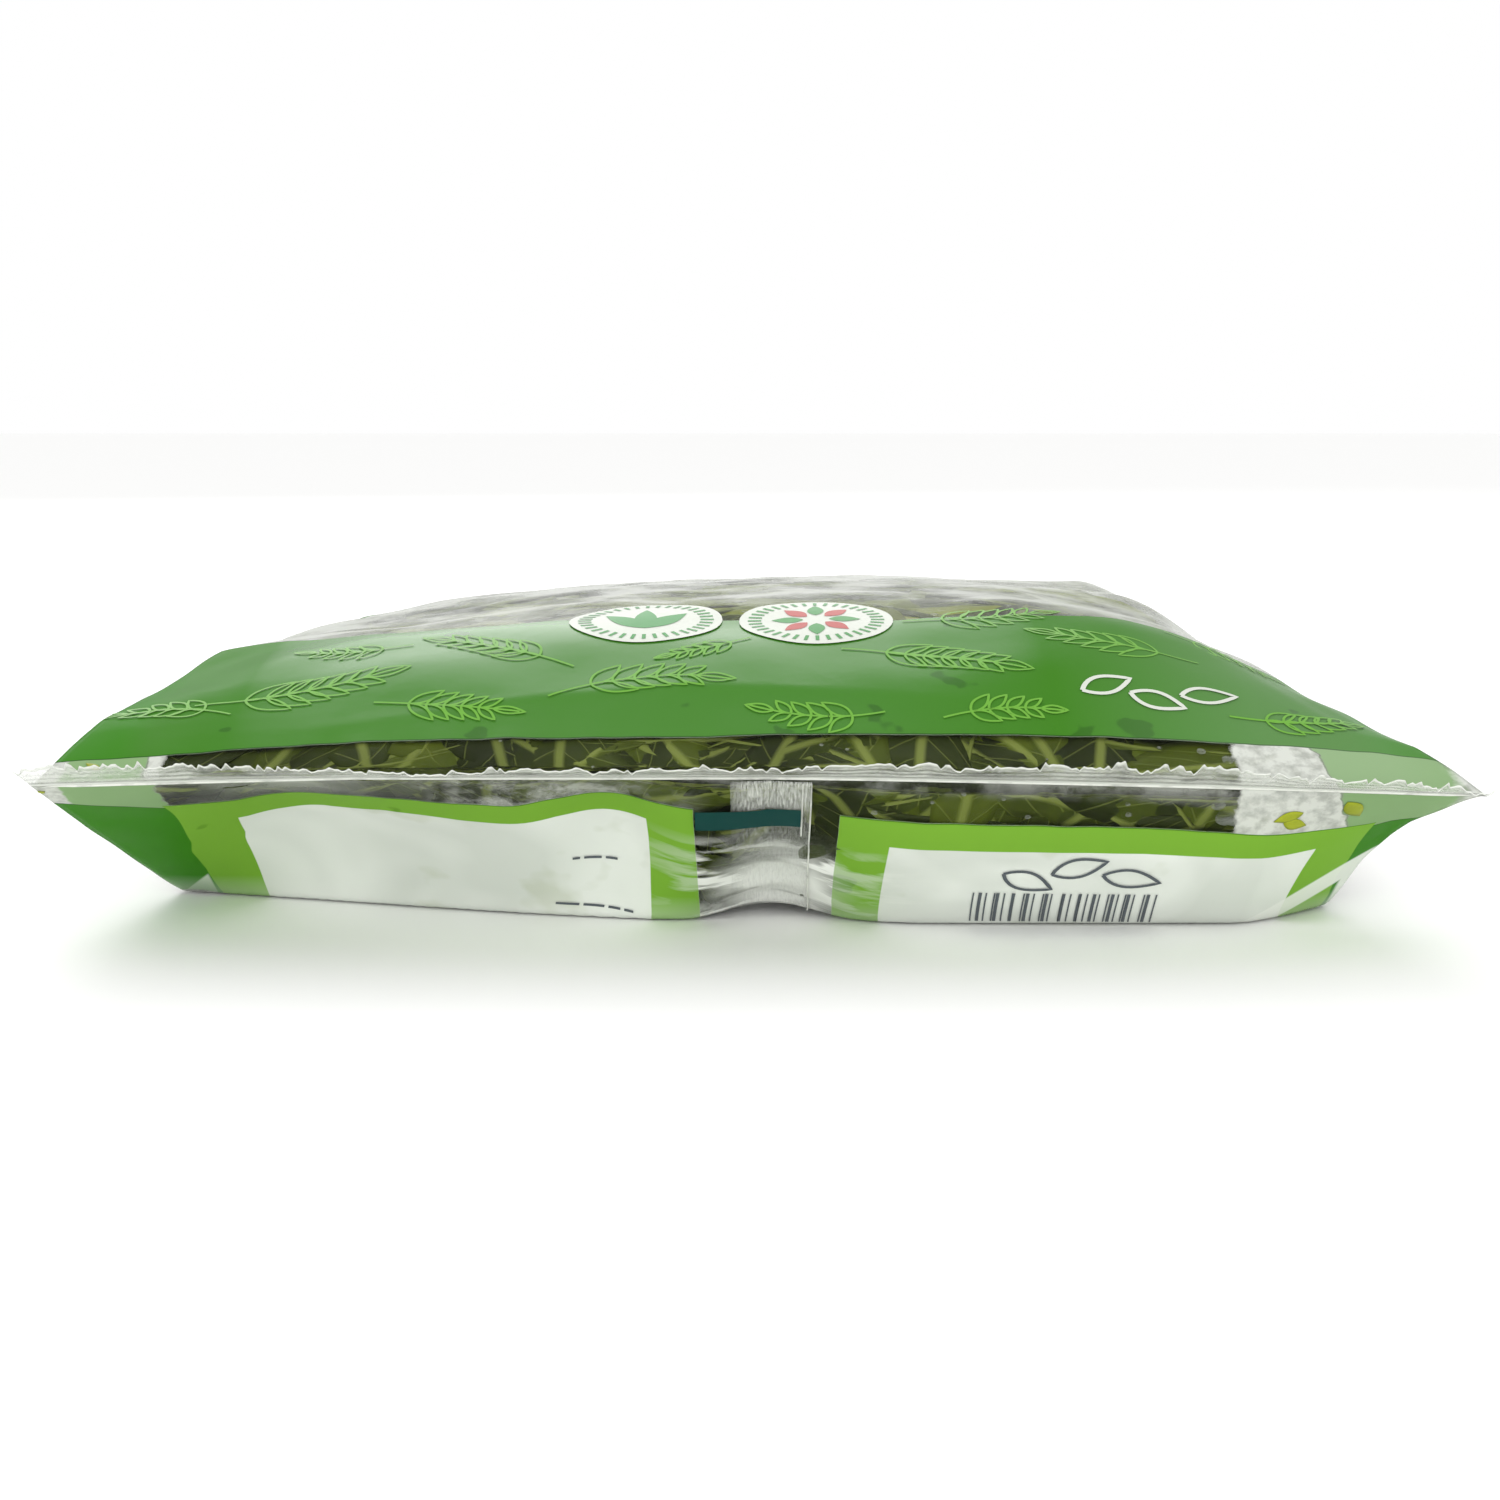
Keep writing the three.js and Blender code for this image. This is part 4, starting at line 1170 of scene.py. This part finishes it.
def leaf_stalks(material, name, count, seed, s_range, v_range, tones):
    """Loose pale stalks: thin round tubes laid along the inside of the film in slight curves.

    A stalk's middle line is straight along its turn and bends aside with the square of the
    distance from its middle. Its radius shrinks evenly by a third from one end to the other.
    """
    draw = np.random.default_rng(seed)
    t = np.linspace(-0.5, 0.5, 12)[None, :, None]
    length = each(draw, count, 26, 70)
    turn = each(draw, count, 0, 2 * np.pi)
    bend = each(draw, count, -0.6, 0.6)
    radius = each(draw, count, 0.5, 1.0) * (1 - 0.35 * (t + 0.5))
    angle = np.linspace(0, 2 * np.pi, 6, endpoint=False)[None, None, :]
    side, up = radius * np.cos(angle), radius * np.sin(angle)
    along = t * length
    across = bend * length * t ** 2 * 2 + side
    s = each(draw, count, *s_range) + along * np.cos(turn) - across * np.sin(turn)
    v = each(draw, count, *v_range) + along * np.sin(turn) + across * np.cos(turn)
    full = film_map.full_length(s)
    v = np.clip(v, LEAF_CLEARANCE, full - LEAF_CLEARANCE)
    room = np.clip(0.16 * np.minimum(v, full - v), 0.3, 4.0)
    depth = each(draw, count, 0.2, 0.9) * room + 0.8 - up
    ring = film_map.at(s, v, -depth)
    ring[..., 2] = np.maximum(OFF_FLOOR, ring[..., 2])
    # Painted shade: stalks are darker towards the seals.
    tone = each(draw, count, *tones) * (0.3 + 0.7 * ramp(np.minimum(v, full - v), 6, 26))
    rib = np.full(tone.shape, 0.85)
    return tubes(name, ring, material, values={"shade": tone, "across": rib, "run": rib + 2})


def ribbons(name, paths, width, material, lift=LINE_LIFT):
    """Printed lines: flat strips of one width along paths (lines, points, s and v)."""
    along = np.gradient(paths, axis=1)
    along /= np.maximum(np.linalg.norm(along, axis=2, keepdims=True), 1e-6)
    square = np.stack([-along[..., 1], along[..., 0]], -1)
    edges = np.stack([paths + square * width / 2, paths - square * width / 2], 2)
    points = film_map.at(edges[..., 0], edges[..., 1], lift)
    return sheets(name, points, material)


def patches(name, outlines, material, lift):
    """Printed areas: rings that grow from a small closed middle to an outline of s and v."""
    middle = outlines.mean(1, keepdims=True)
    grow = np.linspace(0.04, 1, 8)[None, :, None, None]
    grown = middle[:, None] + (outlines[:, :-1] - middle)[:, None] * grow
    points = film_map.at(grown[..., 0], grown[..., 1], lift)
    count, rows, columns = points.shape[:3]
    starts = np.arange(count)[:, None, None] * rows * columns
    bands = (grid_faces(rows, columns, True)[None] + starts).reshape(-1, 4)
    middles = np.arange(columns)[None, ::-1] + starts[:, 0]
    return new_piece(name, points, [bands, middles], material)


def circle(radius, points=49):
    """Closed outline of a circle round s = 0 and v = 0."""
    angle = np.linspace(0, 2 * np.pi, points)
    return radius * np.stack([np.cos(angle), np.sin(angle)], -1)


def leaflet(base, turn, length, width, points=25):
    """Closed outline of a pointed oval that starts at its base and lies along its turn."""
    t = np.linspace(0, 1, points // 2 + 1)
    side = width / 2 * np.sin(np.pi * t ** 0.85)
    x = np.concatenate([t, t[-2::-1]]) * length
    y = np.concatenate([side, -side[-2::-1]])
    return np.asarray(base) + np.stack([x * np.cos(turn) - y * np.sin(turn),
                                        x * np.sin(turn) + y * np.cos(turn)], -1)


def sprig(base, turn, length, pairs, lean, plump, bow):
    """Lines of a small twig: a bowed stem, and oval leaflets in pairs with one at its tip."""
    ahead = np.array([np.cos(turn), np.sin(turn)])
    aside = np.array([-ahead[1], ahead[0]])

    def stem(t):
        t = np.asarray(t)[..., None]
        return np.asarray(base) + length * (t * ahead + bow * t * (1 - t) * aside)

    outlines = [stem(np.linspace(0, 1, 25))]
    for i in range(pairs):
        t = 0.24 + 0.6 * i / pairs
        size = length * (0.27 - 0.11 * i / pairs)
        for side in (1, -1):
            heading = turn + bow * (1 - 2 * t) + side * lean
            outlines.append(leaflet(stem(t), heading, size, size * plump))
    outlines.append(leaflet(stem(0.82), turn - 0.7 * bow, length * 0.22, length * 0.22 * plump))
    return outlines


def front_sprigs(material):
    """Twigs scattered over both green bands, those of the far band turned round."""
    draw = np.random.default_rng(12)
    outlines = []
    for s, v, turn, length, pairs in TWIGS:
        turn = np.radians(turn)
        start = np.array([s, v]) - length / 2 * np.array([np.cos(turn), np.sin(turn)])
        lean, plump, bow = draw.uniform(0.5, 0.75), draw.uniform(0.34, 0.44), draw.uniform(-0.5, 0.5)
        twig = sprig(start, turn, length, pairs, lean, plump, bow)
        outlines += twig
        far_twig = np.array(twig) * np.array([-1.0, 1.0])
        far_twig[..., 1] = film_map.full_length(far_twig[..., 0]) - far_twig[..., 1]
        outlines += list(far_twig)
    return ribbons("print_sprigs", np.array(outlines), SPRIG_LINE, material, SPRIG_LIFT)


def badges(white, green, red):
    """Two white ovals: one with a ring of ticks round three leaves, one with a wheel of petals."""
    flatter = np.array([1.0, BADGE_SQUASH])
    discs = np.array([circle(BADGE_RADIUS) * flatter + place for place in BADGES])
    patches("badge_discs", discs, white, DISC_LIFT)
    ticks = []
    for place in BADGES:
        for angle in np.linspace(0, 2 * np.pi, 36, endpoint=False):
            ray = np.array([np.cos(angle), np.sin(angle)]) * flatter
            ticks.append(np.asarray(place) + ray * np.linspace(8.2, 10.2, 4)[:, None])
    ribbons("badge_ticks", np.array(ticks), TICK_LINE, green, BADGE_LIFT)
    left, right = (np.asarray(place) for place in BADGES)
    leaves = [leaflet(left - (0, 4.5), np.pi / 2 + lean, 9.5, 3.4) for lean in (-0.7, 0.0, 0.7)]
    wheel = np.linspace(0, 2 * np.pi, 8, endpoint=False)
    petals = [leaflet(right + 1.9 * np.array([np.cos(angle), np.sin(angle)]), angle, 4.8, 2.5)
              for angle in wheel]
    patches("badge_leaves", np.array(leaves + petals[::2]), green, BADGE_LIFT)
    patches("badge_petals", np.array(petals[1::2]), red, BADGE_LIFT)


def mark_figures(at):
    """Outlines of three plain leaves in a row along s from a place: step, lean and length."""
    parts = ((0.0, 0.45, 8.0), (6.8, -0.4, 8.0), (14.0, 0.2, 8.5))
    return [leaflet(np.array(at) + (step, 0.0), lean, length, 3.9) for step, lean, length in parts]


def front_mark(material):
    """White outlines of three leaves at the right of the front."""
    figures = np.array(mark_figures(FRONT_MARK))
    return ribbons("front_mark", figures, FRONT_MARK_LINE, material, DISC_LIFT)


def back_place(across, v):
    """The s and v of a place on the back, given across from its middle, to the right."""
    across = np.asarray(across, dtype=float)
    return np.stack([HALF_ROUND - across, v + 0 * across], -1)


def back_print(grey, dark):
    """Small grey rules, a row of upright bars, leaf outlines and the dark sensor mark on the back."""
    draw = np.random.default_rng(77)
    rules = []
    rows = np.arange(RULES_START, RULES_END, RULES_STEP)
    blocks = [(-71, -21, v) for v in rows] + [(22, 71, v) for v in rows]
    blocks += [(-28.2, -21.6, 24.2), (-30.5, -19.0, 34.5)]
    for first, last, v in blocks:
        at = first
        while at < last - 0.8:
            length = draw.uniform(0.8, 3.6)
            rules.append(back_place(np.linspace(at, min(at + length, last), 4), v))
            at += length + 0.6
    ribbons("back_rules", np.array(rules), RULE_LINE, grey)
    for name, width, first, step in BARS:
        across = np.arange(first, BARS_END, step)
        across = across + draw.uniform(-0.25, 0.25, len(across)) * step
        upright = np.linspace(BARS_TOP, BARS_FOOT, 8)
        bars = [back_place(np.full(8, place), upright) for place in across]
        ribbons(name, np.array(bars), width, grey)
    figures = [back_place(figure[:, 0], figure[:, 1]) for figure in mark_figures(BACK_MARK)]
    ribbons("back_mark", np.array(figures), BACK_MARK_LINE, grey)
    v = np.linspace(SENSOR_TOP, SENSOR_FOOT, 6)[:, None]
    s = HALF_ROUND - np.linspace(SENSOR_LEFT, SENSOR_RIGHT, 16)[None, :]
    return sheets("sensor_mark", film_map.at(s, v, SENSOR_LIFT)[None], dark)


def drops(material, name, count, seed, s_range, v_range, size):
    """Water drops on the inside of the film: flat domes of rings that shrink towards their top."""
    draw = np.random.default_rng(seed)
    radius = size * (0.3 + 0.7 * draw.beta(1.3, 3.0, (count, 1, 1)))
    s = each(draw, count, *s_range)
    v = each(draw, count, *v_range)
    rise = np.linspace(0, 1, 5)[None, :, None]
    angle = np.linspace(0, 2 * np.pi, 10, endpoint=False)[None, None, :]
    spread = radius * np.cos(rise * np.pi / 2 * 0.97)
    depth = 0.16 + 0.55 * radius * np.sin(rise * np.pi / 2)
    ring = film_map.at(s + spread * np.cos(angle), v + spread * np.sin(angle), -depth)
    return tubes(name, ring, material)


def leaf_crumbs(material):
    """Torn bits of leaf that stick to the film at both corners, as thin closed slips."""
    outlines = np.array([leaflet(crumb[:2], *crumb[2:]) for crumb in CRUMBS])
    middle = outlines.mean(1, keepdims=True)
    grow = np.array([0.05, 0.6, 1.0, 1.0, 0.6, 0.05])[None, :, None, None]
    lift = np.array([0.2, 0.2, 0.18, 0.08, 0.06, 0.06])[None, :, None]
    ring = middle[:, None] + (outlines[:, :-1] - middle)[:, None] * grow
    points = film_map.at(ring[..., 0], ring[..., 1], lift)
    shade = np.full(points.shape[:3], 0.95)
    return tubes("leaf_crumbs", points, material, values={"shade": shade, "across": shade + 2})


def studio():
    """A pale floor in an even white surround, a wide light in front and one high behind."""
    mesh = bpy.data.meshes.new("floor")
    corners = np.array([(-1, -1, 0), (1, -1, 0), (1, 1, 0), (-1, 1, 0)]) * FLOOR_REACH
    mesh.from_pydata(corners.tolist(), [], [(0, 1, 2, 3)])
    mesh.materials.append(floor_material())
    floor = bpy.data.objects.new("floor", mesh)
    bpy.context.scene.collection.objects.link(floor)
    world = bpy.data.worlds.new("white_surround")
    world.use_nodes = True
    background = world.node_tree.nodes["Background"]
    background.inputs["Color"].default_value = (1.0, 1.0, 1.0, 1.0)
    background.inputs["Strength"].default_value = 1.0
    bpy.context.scene.world = world
    for name, place, turn, size, power in LIGHTS:
        light = bpy.data.lights.new(name, "AREA")
        light.size = size
        light.energy = power
        lamp = bpy.data.objects.new(name, light)
        lamp.location = place
        lamp.rotation_euler = turn
        bpy.context.scene.collection.objects.link(lamp)


def camera():
    """The photograph's view: low and close in front of the near seal."""
    data = bpy.data.cameras.new("camera")
    data.sensor_width = 36.0
    data.lens = data.sensor_width * FOCAL_PIXELS / FRAME_PIXELS
    data.clip_start = 0.01
    data.clip_end = 50.0
    eye = bpy.data.objects.new("camera", data)
    eye.location = (-CAMERA_LEFT * MILLIMETRE, -(SEAL_TO_SEAL / 2 + CAMERA_BACK) * MILLIMETRE,
                    CAMERA_HEIGHT * MILLIMETRE)
    eye.rotation_euler = (np.radians(90 - CAMERA_PITCH), 0, 0)
    bpy.context.scene.collection.objects.link(eye)
    bpy.context.scene.camera = eye


def build():
    """Makes every piece of the bag, then the stage and the camera."""
    film = bag_film()
    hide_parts("bag")
    sealed, bead = sealed_film_material(), weld_line_material()
    end_seal("near_seal", NEAR_TILT, -1, 41, sealed, bead)
    end_seal("far_seal", FAR_TILT, 1, 51, sealed, bead)
    back_seam(seam_film_material(), bead)
    leaf_core()
    leaf = leaf_material()
    for piece in LEAVES:
        rocket_leaves(leaf, *piece)
    for piece in STALKS:
        leaf_stalks(leaf, *piece)
    water = water_material()
    for piece in DROPS:
        drops(water, *piece)
    leaf_crumbs(leaf)
    white = ink_material("white_ink", "#ccd0c6")
    grey = ink_material("grey_ink", "#575d62")
    front_sprigs(ink_material("light_green_ink", "#69a33c"))
    badges(white, ink_material("green_ink", "#4b8f50"), ink_material("red_ink", "#b0534e"))
    front_mark(white)
    back_print(grey, ink_material("dark_teal_ink", "#113f3b"))
    studio()
    camera()
    bpy.context.scene.view_settings.view_transform = "Standard"


build()
